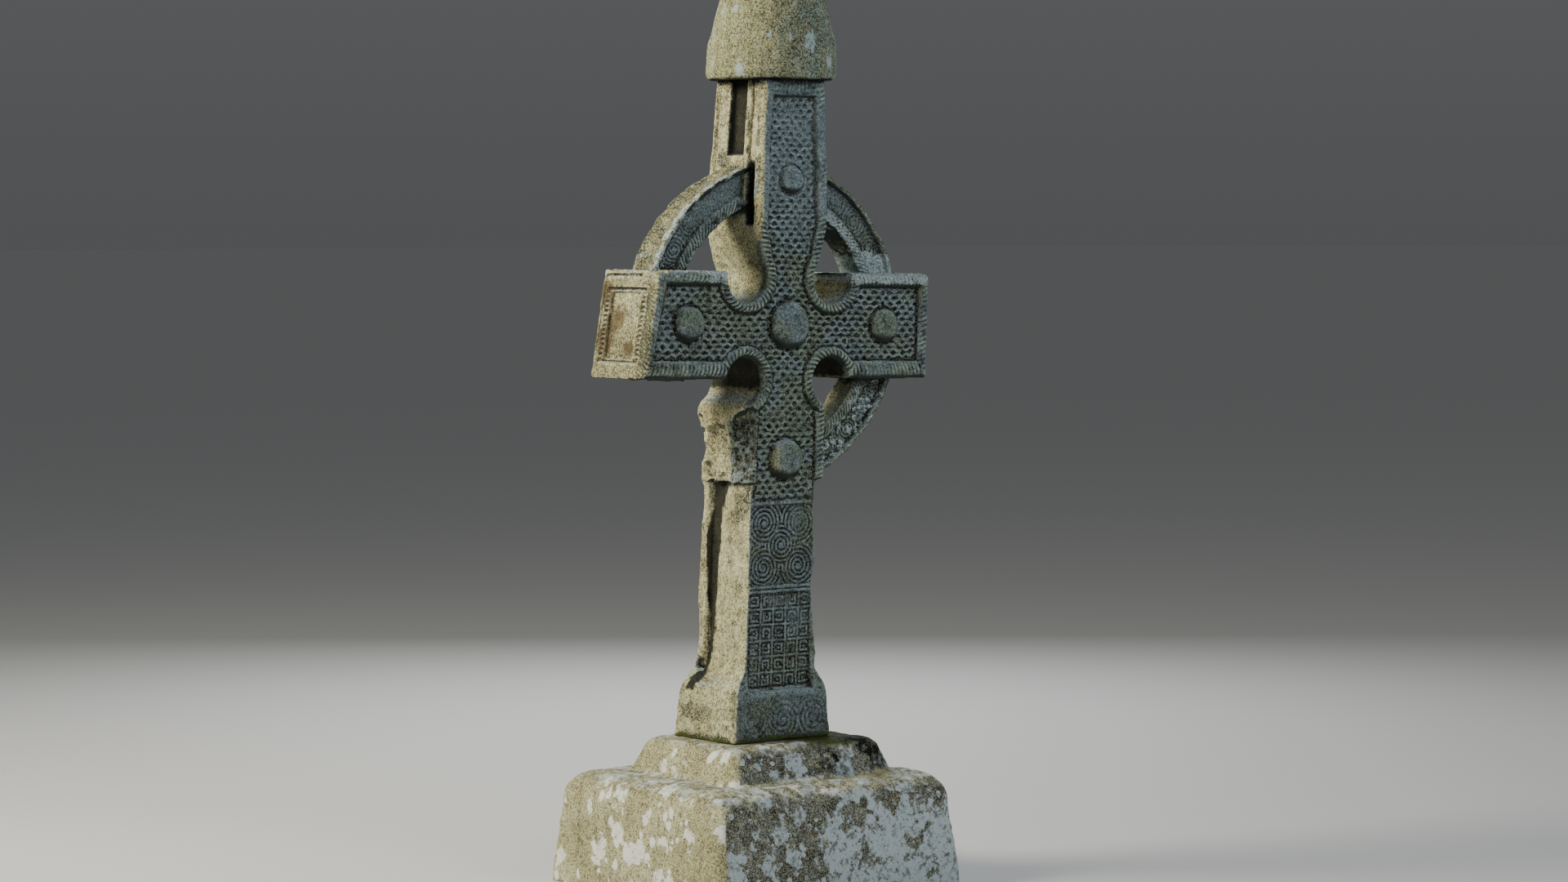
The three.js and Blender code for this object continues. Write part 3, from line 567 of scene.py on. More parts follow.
ring_face = RING_HALF - RING_SINK + outer_roll + inner_roll + RING_SPIRAL_RISE * spiral_wave * channel

# Losses, each a rough boxy scoop out of the stone: centre, half sizes, and how it climbs towards the front.
# On the ring's rim they are round: where round the ring, how far out, and their radius.
SCAR_BITES = (
    ((-232.0, -122.0, -482.0), (92.0, 108.0, 136.0), 0.5),
    ((-238.0, 216.0, -566.0), (92.0, 78.0, 76.0), 0.0),
    ((-240.0, 40.0, -492.0), (76.0, 118.0, 128.0), 0.0),
    ((-242.0, 182.0, -455.0), (98.0, 76.0, 122.0), 0.0),
    ((-232.0, 118.0, -340.0), (46.0, 60.0, 34.0), 0.0),
    ((-268.0, 30.0, -574.0), (106.0, 260.0, 74.0), 0.0),
    ((-205.0, 128.0, -1392.0), (60.0, 24.0, 30.0), -0.4),
    ((-740.0, -205.0, -150.0), (60.0, 50.0, 46.0), 0.0),
)
RIM_BITES = (
    (math.radians(28.0), 662.0, 44.0),
    (math.radians(37.0), 664.0, 40.0),
    (math.radians(153.0), 662.0, 46.0),
    (math.radians(318.0), 664.0, 30.0),
)

box_low = (-760.0, -260.0, 500.0)
box_high = (760.0, 260.0, 3200.0)
coarse_noise = random_lattice(box_low, box_high, 84.0, 21)
middle_noise = random_lattice(box_low, box_high, 33.0, 22)
fine_noise = random_lattice(box_low, box_high, 14.0, 23)
stone = np.empty((len(grid_x), len(grid_y), len(grid_z)), np.float32)
ARM_TOP_RAG = 7.5
SLAB = 64
column_x = grid_x[:, None, None]
column_y = grid_y[None, :, None]
for start in range(0, len(grid_z), SLAB):
    part = slice(start, start + SLAB)
    level_z = grid_z[None, None, part]
    level_h = level_z - HEAD_Z
    coarse = noise_on(coarse_noise, grid_x, grid_y, grid_z[part])
    middle = noise_on(middle_noise, grid_x, grid_y, grid_z[part])
    fine = noise_on(fine_noise, grid_x, grid_y, grid_z[part])
    sides = outline[:, None, part] + side_sink[None, :, part]
    sides = sides + end_sink[None, :, part] * (np.abs(column_x) > 600.0)
    sides = sides + 3.5 * coarse * (np.abs(level_h) > 240.0) + 1.6 * middle * (np.abs(column_x) > 300.0)
    on_arm_top = (np.abs(level_h - ARM_RISE) < 26.0) & (np.abs(column_x) > 240.0)
    sides = sides - ARM_TOP_RAG * np.clip(fine + 0.6 * middle, 0.0, 1.0) * on_arm_top
    front_gap = -column_y - front[:, None, part]
    back_gap = column_y - back[:, None, part]
    cross = larger(larger(front_gap, sides, 14.0), larger(back_gap, sides, 22.0), 4.0)
    ring_gap = np.maximum(ring_reach - RING_OUTER, RING_INNER - ring_reach)[:, None, part]
    rim_channel = 7.0 * bump(column_y, 44.0) * (ring_reach[:, None, part] > 560.0)
    ring = larger(ring_gap + rim_channel, np.abs(column_y) - ring_face[:, None, part], 6.0)
    ring = ring + 2.2 * middle + 1.6 * fine
    for turn, reach, radius in RIM_BITES:
        bite = (column_x - reach * math.cos(turn)) ** 2 + (level_h - reach * math.sin(turn)) ** 2
        bite = np.sqrt(bite + (0.45 * column_y) ** 2)
        ring = larger(ring, radius + 9.0 * middle - bite, 8.0)
    broken_off = np.minimum(-column_x - 150.0, -190.0 - level_h) + 16.0 * middle + 8.0 * fine
    stub = np.minimum(-column_x - 168.0, -213.0 - level_h) + 4.0 * middle
    ring = np.maximum(ring, np.minimum(broken_off, stub))
    solid = smaller(cross, ring, 6.0)
    for (bite_x, bite_y, bite_h), (half_x, half_y, half_h), climb in SCAR_BITES:
        bite_level = bite_h + climb * (-60.0 - column_y)
        reach = np.abs((column_x - bite_x) / half_x) ** 3 + np.abs((column_y - bite_y) / half_y) ** 3
        reach = (reach + np.abs((level_h - bite_level) / half_h) ** 3) ** (1.0 / 3.0)
        solid = larger(solid, (1.0 - reach) * min(half_x, half_y, half_h) + 6.0 * middle + 3.5 * fine, 4.0)
    solid = solid + 1.9 * middle + 0.8 * fine
    solid = np.maximum(solid, np.maximum(FOOT_Z - level_z, level_z - TOP_Z))
    stone[:, :, part] = solid


def stone_around(values, cells, beyond):
    """The share of stone in a cube reaching so many cells each way. beyond marks the neighbour stones."""
    share = np.clip(0.5 - values / step, 0.0, 1.0)
    share[beyond] = 1.0
    for axis in range(3):
        count = 2 * cells + 1
        padded = np.pad(share, [(cells + 1, cells) if i == axis else (0, 0) for i in range(3)], "edge")
        running = np.cumsum(padded, axis)
        high = np.take(running, np.arange(count, running.shape[axis]), axis)
        low = np.take(running, np.arange(0, running.shape[axis] - count), axis)
        share = (high - low) / count
    return share


def value_at(values, low, points):
    """A grid's values at scattered points, blended from the eight grid points around each."""
    place = (points - np.array(low)) / step
    place = np.clip(place, 0.0, np.array(values.shape) - 1.001)
    cell = np.floor(place).astype(int)
    share = place - cell
    total = np.zeros(len(points))
    for i in (0, 1):
        for j in (0, 1):
            for k in (0, 1):
                weight = np.abs(1 - i - share[:, 0]) * np.abs(1 - j - share[:, 1])
                weight = weight * np.abs(1 - k - share[:, 2])
                total += weight * values[cell[:, 0] + i, cell[:, 1] + j, cell[:, 2] + k]
    return total


def skin_of(values, low, step):
    """The surface where values pass 0, as points and four-sided faces, one point in each cell it cuts."""
    inside = values < 0.0
    cells_shape = [n - 1 for n in values.shape]
    count = np.zeros(cells_shape, np.uint8)
    corners = [(i, j, k) for i in (0, 1) for j in (0, 1) for k in (0, 1)]
    for i, j, k in corners:
        count += inside[i : i + cells_shape[0], j : j + cells_shape[1], k : k + cells_shape[2]]
    cut = (count > 0) & (count < 8)
    cells = np.argwhere(cut)
    number = np.full(cells_shape, -1, np.int32)
    number[cut] = np.arange(len(cells))
    total = np.zeros((len(cells), 3))
    hits = np.zeros(len(cells))
    for corner in corners:
        for axis in range(3):
            if corner[axis]:
                continue
            first = cells + corner
            second = first.copy()
            second[:, axis] += 1
            value_a = values[first[:, 0], first[:, 1], first[:, 2]]
            value_b = values[second[:, 0], second[:, 1], second[:, 2]]
            hit = (value_a < 0.0) != (value_b < 0.0)
            place = np.tile(np.array(corner, float), (int(hit.sum()), 1))
            place[:, axis] += value_a[hit] / (value_a[hit] - value_b[hit])
            total[hit] += place
            hits[hit] += 1
    points = np.array(low) + step * (cells + total / hits[:, None])
    faces = []
    for axis in range(3):
        u, v = (axis + 1) % 3, (axis + 2) % 3
        lower = [slice(1, -1)] * 3
        upper = [slice(1, -1)] * 3
        lower[axis] = slice(0, -1)
        upper[axis] = slice(1, None)
        lower_inside = inside[tuple(lower)]
        change = np.argwhere(lower_inside != inside[tuple(upper)])
        outward = lower_inside[change[:, 0], change[:, 1], change[:, 2]]
        offset = np.ones(3, int)
        offset[axis] = 0
        around_edge = []
        for back_u, back_v in ((0, 0), (1, 0), (1, 1), (0, 1)):
            cell = change + offset
            cell[:, u] -= back_u
            cell[:, v] -= back_v
            around_edge.append(number[cell[:, 0], cell[:, 1], cell[:, 2]])
        quads = np.stack(around_edge, 1)
        quads[~outward] = quads[~outward][:, ::-1]
        faces.append(quads)
    return points, np.concatenate(faces)


def thinned(obj, share, group=None):
    """The object's mesh with this share of its triangles. The places in the group go first."""
    thin = obj.modifiers.new("thin", "DECIMATE")
    thin.ratio = share
    if group:
        thin.vertex_group = group.name
    mesh = bpy.data.meshes.new_from_object(obj.evaluated_get(bpy.context.evaluated_depsgraph_get()))
    obj.modifiers.clear()
    replaced = obj.data
    obj.data = mesh
    bpy.data.meshes.remove(replaced)
    mesh.name = obj.name


def stone_object(name, points, faces, most_triangles, plainer=None, plain_triangles=0):
    """A mesh object in metres, thinned to at most so many triangles, and first of all where it is plainer."""
    mesh = bpy.data.meshes.new(name)
    mesh.vertices.add(len(points))
    mesh.vertices.foreach_set("co", (points * MM).astype(np.float32).ravel())
    mesh.loops.add(len(faces) * 4)
    mesh.loops.foreach_set("vertex_index", faces.astype(np.int32).ravel())
    mesh.polygons.add(len(faces))
    mesh.polygons.foreach_set("loop_start", np.arange(0, len(faces) * 4, 4, dtype=np.int32))
    mesh.update(calc_edges=True)
    obj = bpy.data.objects.new(name, mesh)
    bpy.context.scene.collection.objects.link(obj)
    triangles = 2.0 * len(faces)
    if plainer is not None:
        rich_triangles = 2.0 * np.count_nonzero(~plainer[faces[:, 0]])
        if rich_triangles + plain_triangles < triangles:
            group = obj.vertex_groups.new(name="plainer")
            group.add(np.flatnonzero(plainer).tolist(), 1.0, "REPLACE")
            thinned(obj, (rich_triangles + plain_triangles) / triangles, group)
            triangles = rich_triangles + plain_triangles
            obj.vertex_groups.clear()
    if triangles > most_triangles:
        thinned(obj, most_triangles / triangles)
    obj.data.polygons.foreach_set("use_smooth", np.ones(len(obj.data.polygons), bool))
    return obj


def points_of(obj):
    places = np.empty(len(obj.data.vertices) * 3, np.float32)
    obj.data.vertices.foreach_get("co", places)
    return places.reshape(-1, 3)


def keep_value(obj, name, values):
    layer = obj.data.attributes.new(name, "FLOAT", "POINT")
    layer.data.foreach_set("value", values.astype(np.float32))


def at_points(grid, lines, first, second):
    """A grid's values at scattered points, blended from the four grid points around each."""
    a = np.clip((first - lines[0][0]) / step, 0.0, len(lines[0]) - 1.001)
    b = np.clip((second - lines[1][0]) / step, 0.0, len(lines[1]) - 1.001)
    i = a.astype(int)
    j = b.astype(int)
    lower = mix(grid[i, j], grid[i, j + 1], b - j)
    upper = mix(grid[i + 1, j], grid[i + 1, j + 1], b - j)
    return mix(lower, upper, a - i)


def hollows_in(face, cells):
    """How far each place of a face lies below the mean of the square around it."""
    mean = face
    for axis in (0, 1):
        count = 2 * cells + 1
        padded = np.pad(mean, [(cells + 1, cells) if i == axis else (0, 0) for i in (0, 1)], "edge")
        running = np.cumsum(padded, axis)
        high = np.take(running, np.arange(count, running.shape[axis]), axis)
        low = np.take(running, np.arange(0, running.shape[axis] - count), axis)
        mean = (high - low) / count
    return mean - face


# The back and the plain sides give up triangles first, so that the carving keeps its own
CROSS_TRIANGLES = 196000
PLAIN_TRIANGLES = 64000
grid_low = (grid_x[0], grid_y[0], grid_z[0])
points, faces = skin_of(stone, grid_low, step)
carved_place = (points[:, 1] < -45.0) & ~((np.abs(points[:, 0]) < 140.0) & (points[:, 1] > -120.0))
carved_place |= (points[:, 0] < -655.0) & (points[:, 1] < 160.0)
plain_place = ~carved_place
ringed_cross = stone_object(
    "ringed_cross_stone", points, faces, CROSS_TRIANGLES, plain_place, PLAIN_TRIANGLES
)
places = points_of(ringed_cross) / MM

# How hollow each place is, closely and widely. The neighbour stones, below and above, count as stone.
beyond = np.zeros(stone.shape, bool)
beyond[:, :, grid_z < FOOT_Z] = True
beyond[:, :, grid_z > TOP_Z] = (np.hypot(column_x, column_y) < 250.0)[:, :, 0][:, :, None]
CREVICE_REACH = 11.0
RECESS_REACH = 44.0
close = value_at(stone_around(stone, max(2, round(CREVICE_REACH / step)), beyond), grid_low, places)
wide = value_at(stone_around(stone, round(RECESS_REACH / step), beyond), grid_low, places)
del stone
at_x, at_y, at_h = places[:, 0], places[:, 1], places[:, 2] - HEAD_Z
at_xz = ((grid_x, grid_z), at_x, places[:, 2])
inward = -at_points(outline, *at_xz)
ring_at = np.hypot(at_x, at_h - RING_RISE)
# crevice_value: how hollow each place is nearby, which the material turns into painted shade in the hollows
# and a painted highlight on what stands out
crevice_value = np.clip((close - 0.5) / 0.15, -1.0, 1.0)
CARVING_REACH = 12.0
carving_cells = max(1, round(CARVING_REACH / step))
for face, depth, part in ((front, 4.5, inward > 4.0), (ring_face, 3.5, inward < -2.0)):
    beside = np.abs(at_y + at_points(face, *at_xz))
    carved_value = np.clip(at_points(hollows_in(face, carving_cells), *at_xz) / depth, -1.0, 1.0)
    crevice_value = mix(crevice_value, carved_value, 0.7 * part * rise(16.0, 7.0, beside))
side_carving = hollows_in(-(side_sink + end_sink), carving_cells)
side_hollow = at_points(side_carving, (grid_y, grid_z), at_y, places[:, 2])
on_left_carving = (at_x < -640.0) | ((at_h > 380.0) & (at_x < -100.0))
on_left_carving = on_left_carving & (inward < 40.0) & (np.abs(at_y) < 170.0)
crevice_value = mix(crevice_value, np.clip(side_hollow / 5.0, -1.0, 1.0), 0.8 * on_left_carving)
worn_collar = rise(FOOT_Z + 175.0, FOOT_Z + 160.0, places[:, 2])
keep_value(ringed_cross, "crevice", crevice_value * (1.0 - 0.45 * worn_collar))

# Where the strands of the cables wind, as turns along each rope and how clearly it shows: the cables of the
# front, the inner rope of the ring and the roped corner of the left arm end
_, along_rope = outline_distance(roll_line, at_x, places[:, 2])
rope_slant = np.where(at_x > 0, STRAND_SLANT, -STRAND_SLANT) * (at_points(across_roll, *at_xz) - 0.5)
turn_value = along_rope / STRAND + rope_slant
on_front = rise(16.0, 7.0, np.abs(at_y + at_points(front, *at_xz)))
rope_share = at_points(roll_height * in_head * crispness, *at_xz) * on_front * (inward > 2.0)
rope_share = rope_share * (at_points(field, *at_xz) > 1.0)
ring_rope = bump(ring_at - (RING_INNER + 23.0), 27.0) * rise(-36.0, -48.0, at_y) * (inward < -4.0)
ring_turn_value = np.arctan2(at_h - RING_RISE, at_x) * RING_INNER / RING_STRAND
ring_turn_value = ring_turn_value + RING_SLANT * (ring_at - RING_INNER)
turn_value = np.where(ring_rope > 0.0, ring_turn_value, turn_value)
end_rope = rise(-116.0, -128.0, at_y) * (at_x < -655.0) * (inward < 6.0) * (np.abs(at_h) < 220.0)
turn_value = np.where(end_rope > 0.0, (at_h - END_SLANT * at_y) / END_STRAND, turn_value)
keep_value(ringed_cross, "turn", turn_value)
keep_value(ringed_cross, "roped", np.maximum(np.maximum(rope_share, ring_rope), end_rope))

# The dark skin covers the front, the ring's face and the scoop of the scar
skinned = rise(4.0, 24.0, inward) * rise(-110.0, -124.0, at_y)
on_ring = rise(RING_INNER - 2.0, RING_INNER + 8.0, ring_at)
on_ring = on_ring * rise(RING_OUTER - 2.0, RING_OUTER - 14.0, ring_at)
skinned = np.maximum(skinned, on_ring * rise(-36.0, -48.0, at_y) * (inward < 0.0))
in_scar = rise(-16.0, -34.0, at_y) * rise(-640.0, -600.0, at_h) * rise(-350.0, -372.0, at_h)
in_scar = in_scar * (at_x < -100.0)
near_hollows = (np.abs(at_h) < 330.0) & (np.abs(at_x) < 340.0)
skinned = np.maximum(skinned, rise(-16.0, -4.0, inward) * rise(-116.0, -130.0, at_y) * near_hollows)
# The lower knob's left flank loses some of the dark skin, so that the tan shows there as a painted highlight
lit_knob_flank = rise(84.0, 74.0, np.hypot(at_x, at_h - LOW_KNOB)) * rise(-8.0, -30.0, at_x)
keep_value(ringed_cross, "skinned", np.maximum(skinned * (1.0 - 0.55 * lit_knob_flank), in_scar))
# recess: how hollow each place is widely, which the material turns into painted shade, near black, in deep
# hollows
keep_value(ringed_cross, "recess", np.clip((wide - 0.5) / 0.2, -1.0, 1.0) * (1.0 - 0.7 * in_scar))

# Painted shade, partly soot black, lies in the upper walls of the hollows and in the groove, panels and slot
# of the left side, and a painted shadow lies under the ring
from_hollow_x = np.abs(at_x) - HOLLOW_X
hollow_h = np.where(at_h > 0.0, HIGH_HOLLOW_Z, LOW_HOLLOW_Z)
from_hollow = np.hypot(from_hollow_x, at_h - hollow_h)
upness = (at_h - hollow_h) / np.maximum(from_hollow, 1.0)
low_left = (at_x < 0.0) & (at_h < 0.0)
hollow_shade_and_soot = np.where(low_left, rise(-0.75, 0.0, upness), rise(-0.1, 0.4, upness))
hollow_shade_and_soot = hollow_shade_and_soot * ((at_x > 0.0) | (at_h < 0.0))
hollow_shade_and_soot = hollow_shade_and_soot * rise(116.0, 106.0, from_hollow) * rise(-150.0, -128.0, at_y)
left_side = (at_x < -100.0) & (inward < 70.0)
front_levels = [820, 880, 960, 1130, 1380, 1468, 1530, 1564]
rear_levels = [760, 812, 871, 957, 1042, 1127, 1212, 1354, 1468]
band_front = np.interp(places[:, 2], front_levels, [92, 84, 84, 70, 54, 38, 4, -16])
band_back = np.interp(places[:, 2], rear_levels, [158, 122, 106, 100, 101, 108, 110, 114, 98])
groove_shade_and_soot = rise(band_front - 5.0, band_front + 3.0, at_y) * rise(band_back + 4.0, band_back - 3.0, at_y)
groove_shade_and_soot = groove_shade_and_soot * rise(748.0, 768.0, places[:, 2]) * rise(1578.0, 1566.0, places[:, 2])
panel_shade_and_soot = rise(TOP_PANEL_FRONT, TOP_PANEL_FRONT + 10.0, at_y)
panel_shade_and_soot = panel_shade_and_soot * rise(TOP_PANEL_BACK + 3.0, TOP_PANEL_BACK - 7.0, at_y)
panel_shade_and_soot = panel_shade_and_soot * rise(TOP_PANEL_FOOT - 2.0, TOP_PANEL_FOOT + 10.0, at_h)
slot_shade_and_soot = rise(SLOT_FRONT + 2.0, SLOT_FRONT + 12.0, at_y) * rise(SLOT_BACK, SLOT_BACK - 8.0, at_y)
slot_shade_and_soot = slot_shade_and_soot * rise(SLOT_FOOT, SLOT_FOOT + 16.0, at_h) * rise(SLOT_TOP, SLOT_TOP - 40.0, at_h)
under_ring_shadow = rise(20.0, -20.0, np.abs(ring_at - RING_INNER) - 20.0) * (np.abs(at_y) < 90.0)
under_ring_shadow = under_ring_shadow * (at_h > 150.0) * (inward > -12.0)
side_shade_and_soot = np.maximum(groove_shade_and_soot, 0.85 * panel_shade_and_soot)
side_shade_and_soot = left_side * np.maximum(side_shade_and_soot, np.maximum(0.8 * slot_shade_and_soot, 0.9 * under_ring_shadow))
keep_value(ringed_cross, "shade_and_soot", np.maximum(hollow_shade_and_soot, side_shade_and_soot))

# Brown damp stains on the left arm end, and the pale crust that grows thickest on the arm tops
STAINS = ((43.0, 20.0, 52.0), (-41.0, -96.0, 40.0), (140.0, 120.0, 66.0), (120.0, -60.0, 60.0))
stain_value = np.zeros(len(places))
for stain_y, stain_h, stain_reach in STAINS:
    stain_value += np.exp(-(((at_y - stain_y) / stain_reach) ** 2 + ((at_h - stain_h) / stain_reach) ** 2))
on_left_end = (at_x < -600.0) & (np.abs(at_h) < 220.0)
keep_value(ringed_cross, "stained", np.clip(stain_value, 0.0, 1.0) * on_left_end)
arm_top = rise(150.0, 172.0, at_h) * rise(330.0, 250.0, at_h) * rise(235.0, 260.0, np.abs(at_x))
crust_value = arm_top * np.where(at_x < 0.0, 0.35 + 0.75 * rise(-450.0, -370.0, at_x), 0.9)
right_ring = on_ring * (inward < -4.0) * (at_x > 0.0) * (at_h > 200.0)
right_ring = right_ring * rise(RING_INNER + 60.0, RING_INNER + 20.0, ring_at)
left_rim = rise(RING_OUTER - 26.0, RING_OUTER - 12.0, ring_at) * rise(-30.0, -50.0, at_y)
left_rim = left_rim * (inward < -4.0) * (at_x < 0.0) * (at_h > 150.0)
low_ring = on_ring * (inward < -4.0) * (at_x > 0.0) * (at_h < -150.0)
ring_crust = np.maximum(np.maximum(0.8 * right_ring, 0.7 * left_rim), 0.45 * low_ring)
keep_value(ringed_cross, "crusted", np.maximum(crust_value, ring_crust))
rim = rise(RING_OUTER - 20.0, RING_OUTER - 8.0, ring_at) * (inward < 0.0) * (np.abs(at_x) < 650.0)
keep_value(ringed_cross, "greened", rim)

# The stone has settled with a slight lean, its arms dipping to the right, just as its solid has
SEAT_Z = 570.0
SEAT_SHIFT_X = -12.0
SEAT_SHIFT_Y = 10.0
LEAN_X = 0.0227
LEAN_Y = -0.0187
ARM_DIP = 0.018


def leaned(places):
    """Places in millimetres, moved sideways as the standing stones have leaned."""
    reach_up = places[:, 2] - SEAT_Z
    moved = places.copy()
    moved[:, 0] += SEAT_SHIFT_X + LEAN_X * reach_up
    moved[:, 1] += SEAT_SHIFT_Y + LEAN_Y * reach_up
    return moved


def place_points(obj, places):
    """Moves the object's points to these places in millimetres."""
    obj.data.vertices.foreach_set("co", (places * MM).astype(np.float32).ravel())
    obj.data.update()


dip_below = rise(HEAD_Z + CABLE_FOOT, HEAD_Z - ARM_DROP, places[:, 2])
dip_above = 1.0 - rise(HEAD_Z + ARM_RISE, HEAD_Z + 630.0, places[:, 2])
settled = leaned(places)
settled[:, 2] -= ARM_DIP * places[:, 0] * dip_below * dip_above
place_points(ringed_cross, settled)


def plug(socket, value):
    """Sets a shader socket, or joins it to another."""
    if isinstance(value, bpy.types.NodeSocket):
        socket.id_data.links.new(value, socket)
    else:
        socket.default_value = value


def maths(tree, operation, first, second=0.0):
    """Two shader values put together by one of Blender's sums."""
    node = tree.nodes.new("ShaderNodeMath")
    node.operation = operation
    plug(node.inputs[0], first)
    plug(node.inputs[1], second)
    return node.outputs[0]


def times(tree, first, second):
    return maths(tree, "MULTIPLY", first, second)


def plus(tree, first, second):
    return maths(tree, "ADD", first, second)


def minus(tree, first, second):
    return maths(tree, "SUBTRACT", first, second)


def most(tree, first, second):
    return maths(tree, "MAXIMUM", first, second)


def swing(tree, mottled, reach):
    """A mottle, which lies round 0.5, as an even swing to both sides of 0."""
    return times(tree, minus(tree, mottled, 0.5), reach)


def tint(tree, share, first, second):
    """The first colour, turning into the second as share goes from 0 to 1."""
    node = tree.nodes.new("ShaderNodeMix")
    node.data_type = "RGBA"
    plug(node.inputs[0], share)
    plug(node.inputs[6], first)
    plug(node.inputs[7], second)
    return node.outputs[2]


def coat(tree, colour, over, cover, strength):
    """The colour with another over it, as thick as cover says and by strength at most."""
    return tint(tree, times(tree, cover, strength), colour, over)


def between(tree, value, low, high):
    """0 below low and 1 above high, with a soft step. low may be the larger of the two."""
    node = tree.nodes.new("ShaderNodeMapRange")
    node.interpolation_type = "SMOOTHSTEP"
    plug(node.inputs["Value"], value)
    node.inputs["From Min"].default_value = min(low, high)
    node.inputs["From Max"].default_value = max(low, high)
    node.inputs["To Min"].default_value = 0.0 if low < high else 1.0
    node.inputs["To Max"].default_value = 1.0 if low < high else 0.0
    return node.outputs["Result"]


def mottle(tree, place, size_mm, detail=3.0, roughness=0.6):
    """Random blotches about size_mm across, near 0.5 on average."""
    node = tree.nodes.new("ShaderNodeTexNoise")
    plug(node.inputs["Vector"], place)
    node.inputs["Scale"].default_value = 1000.0 / size_mm
    node.inputs["Detail"].default_value = detail
    node.inputs["Roughness"].default_value = roughness
    return node.outputs[0]


def spots(tree, place, size_mm):
    """Distance from the middle of randomly placed spots, in shares of their spacing."""
    node = tree.nodes.new("ShaderNodeTexVoronoi")
    plug(node.inputs["Vector"], place)
    node.inputs["Scale"].default_value = 1000.0 / size_mm
    return node.outputs["Distance"]


def shifted(tree, place, by, stretch=(1.0, 1.0, 1.0)):
    node = tree.nodes.new("ShaderNodeMapping")
    plug(node.inputs["Vector"], place)
    node.inputs["Location"].default_value = by
    node.inputs["Scale"].default_value = stretch
    return node.outputs["Vector"]


def stone_material(name):
    """A material with the parts that every stone here uses: its place, its x, y, z and the way it faces."""
    material = bpy.data.materials.new(name)
    material.use_nodes = True
    tree = material.node_tree
    place = tree.nodes.new("ShaderNodeTexCoord").outputs["Object"]
    facing = tree.nodes.new("ShaderNodeSeparateXYZ")
    plug(facing.inputs[0], tree.nodes.new("ShaderNodeNewGeometry").outputs["Normal"])
    split = tree.nodes.new("ShaderNodeSeparateXYZ")
    plug(split.inputs[0], place)
    return material, tree, place, split.outputs, facing.outputs


def stored(tree, name):
    node = tree.nodes.new("ShaderNodeAttribute")
    node.attribute_name = name
    return node.outputs["Fac"]


def grained(tree, colour, speck, grit, strength=1.0):
    """The colour with the dark pits and light grains of rough stone."""
    dark = tint(tree, 0.22, (0.0, 0.0, 0.0, 1.0), colour)
    light = tint(tree, 0.24, colour, (0.95, 0.95, 0.78, 1.0))
    pits = times(tree, between(tree, speck, 0.50, 0.60), 0.85 * strength)
    black_grains = times(tree, between(tree, grit, 0.53, 0.62), 0.80 * strength)
    light_grains = times(tree, between(tree, grit, 0.50, 0.41), 0.95 * strength)
    colour = tint(tree, pits, colour, dark)
    colour = tint(tree, black_grains, colour, dark)
    return tint(tree, light_grains, colour, light)


def finish_stone(tree, colour, roughness, height, relief_mm):
    """Joins the colour, the roughness and the grain to the stone's shader."""
    shader = tree.nodes["Principled BSDF"]
    plug(shader.inputs["Base Color"], colour)
    plug(shader.inputs["Roughness"], roughness)
    shader.inputs["Specular IOR Level"].default_value = 0.25
    grain = tree.nodes.new("ShaderNodeBump")
    grain.inputs["Distance"].default_value = relief_mm * MM
    grain.inputs["Strength"].default_value = 1.0
    plug(grain.inputs["Height"], height)
    plug(shader.inputs["Normal"], grain.outputs["Normal"])


# Sandstone, tan on the faces towards -X where the weather has washed it and painted sunlight lightens it,
# with a skin of dark grey-green lichen in front
TAN = (0.42, 0.39, 0.195, 1.0)
PALE_TAN = (0.58, 0.56, 0.33, 1.0)
OLIVE = (0.17, 0.155, 0.075, 1.0)
DARK_OLIVE = (0.065, 0.075, 0.042, 1.0)
BROWN = (0.085, 0.055, 0.022, 1.0)
# The near-black and the dark skin colour serve for painted shade as well as soot and lichen, and the crust
# colour for a painted highlight as well as lichen.
SOOT_AND_SHADE = (0.008, 0.009, 0.007, 1.0)
DARK_SKIN_AND_SHADE = (0.028, 0.038, 0.033, 1.0)
GREEN_SKIN = (0.155, 0.205, 0.145, 1.0)
BLUE_SKIN = (0.175, 0.235, 0.255, 1.0)
CRUST_AND_HIGHLIGHT = (0.40, 0.49, 0.50, 1.0)
MOSS = (0.055, 0.070, 0.012, 1.0)
ROPE_SKIN = (0.34, 0.43, 0.33, 1.0)

cross_finish, tree, place, place_parts, face_parts = stone_material("lichened_sandstone")
place_x, _, place_z = place_parts
face_x, face_y, face_z = face_parts
crevice = stored(tree, "crevice")
recess = stored(tree, "recess")
skinned = stored(tree, "skinned")
roped = stored(tree, "roped")
rope_wave = maths(tree, "COSINE", times(tree, stored(tree, "turn"), 2.0 * math.pi))
# rope_gap: the grooves between the strands, which are darkened below as painted shade
rope_gap = times(tree, between(tree, rope_wave, 0.1, 0.85), roped)
blotch = mottle(tree, place, 210.0, 4.0)
patch = mottle(tree, shifted(tree, place, (3.1, 1.7, 5.2)), 75.0, 4.0, 0.65)
dapple = mottle(tree, shifted(tree, place, (1.1, 6.7, 2.2)), 26.0, 3.0, 0.6)
speck = mottle(tree, place, 16.0, 4.0, 0.8)
grit = mottle(tree, shifted(tree, place, (7.0, 2.0, 1.0)), 7.0, 2.0, 0.7)

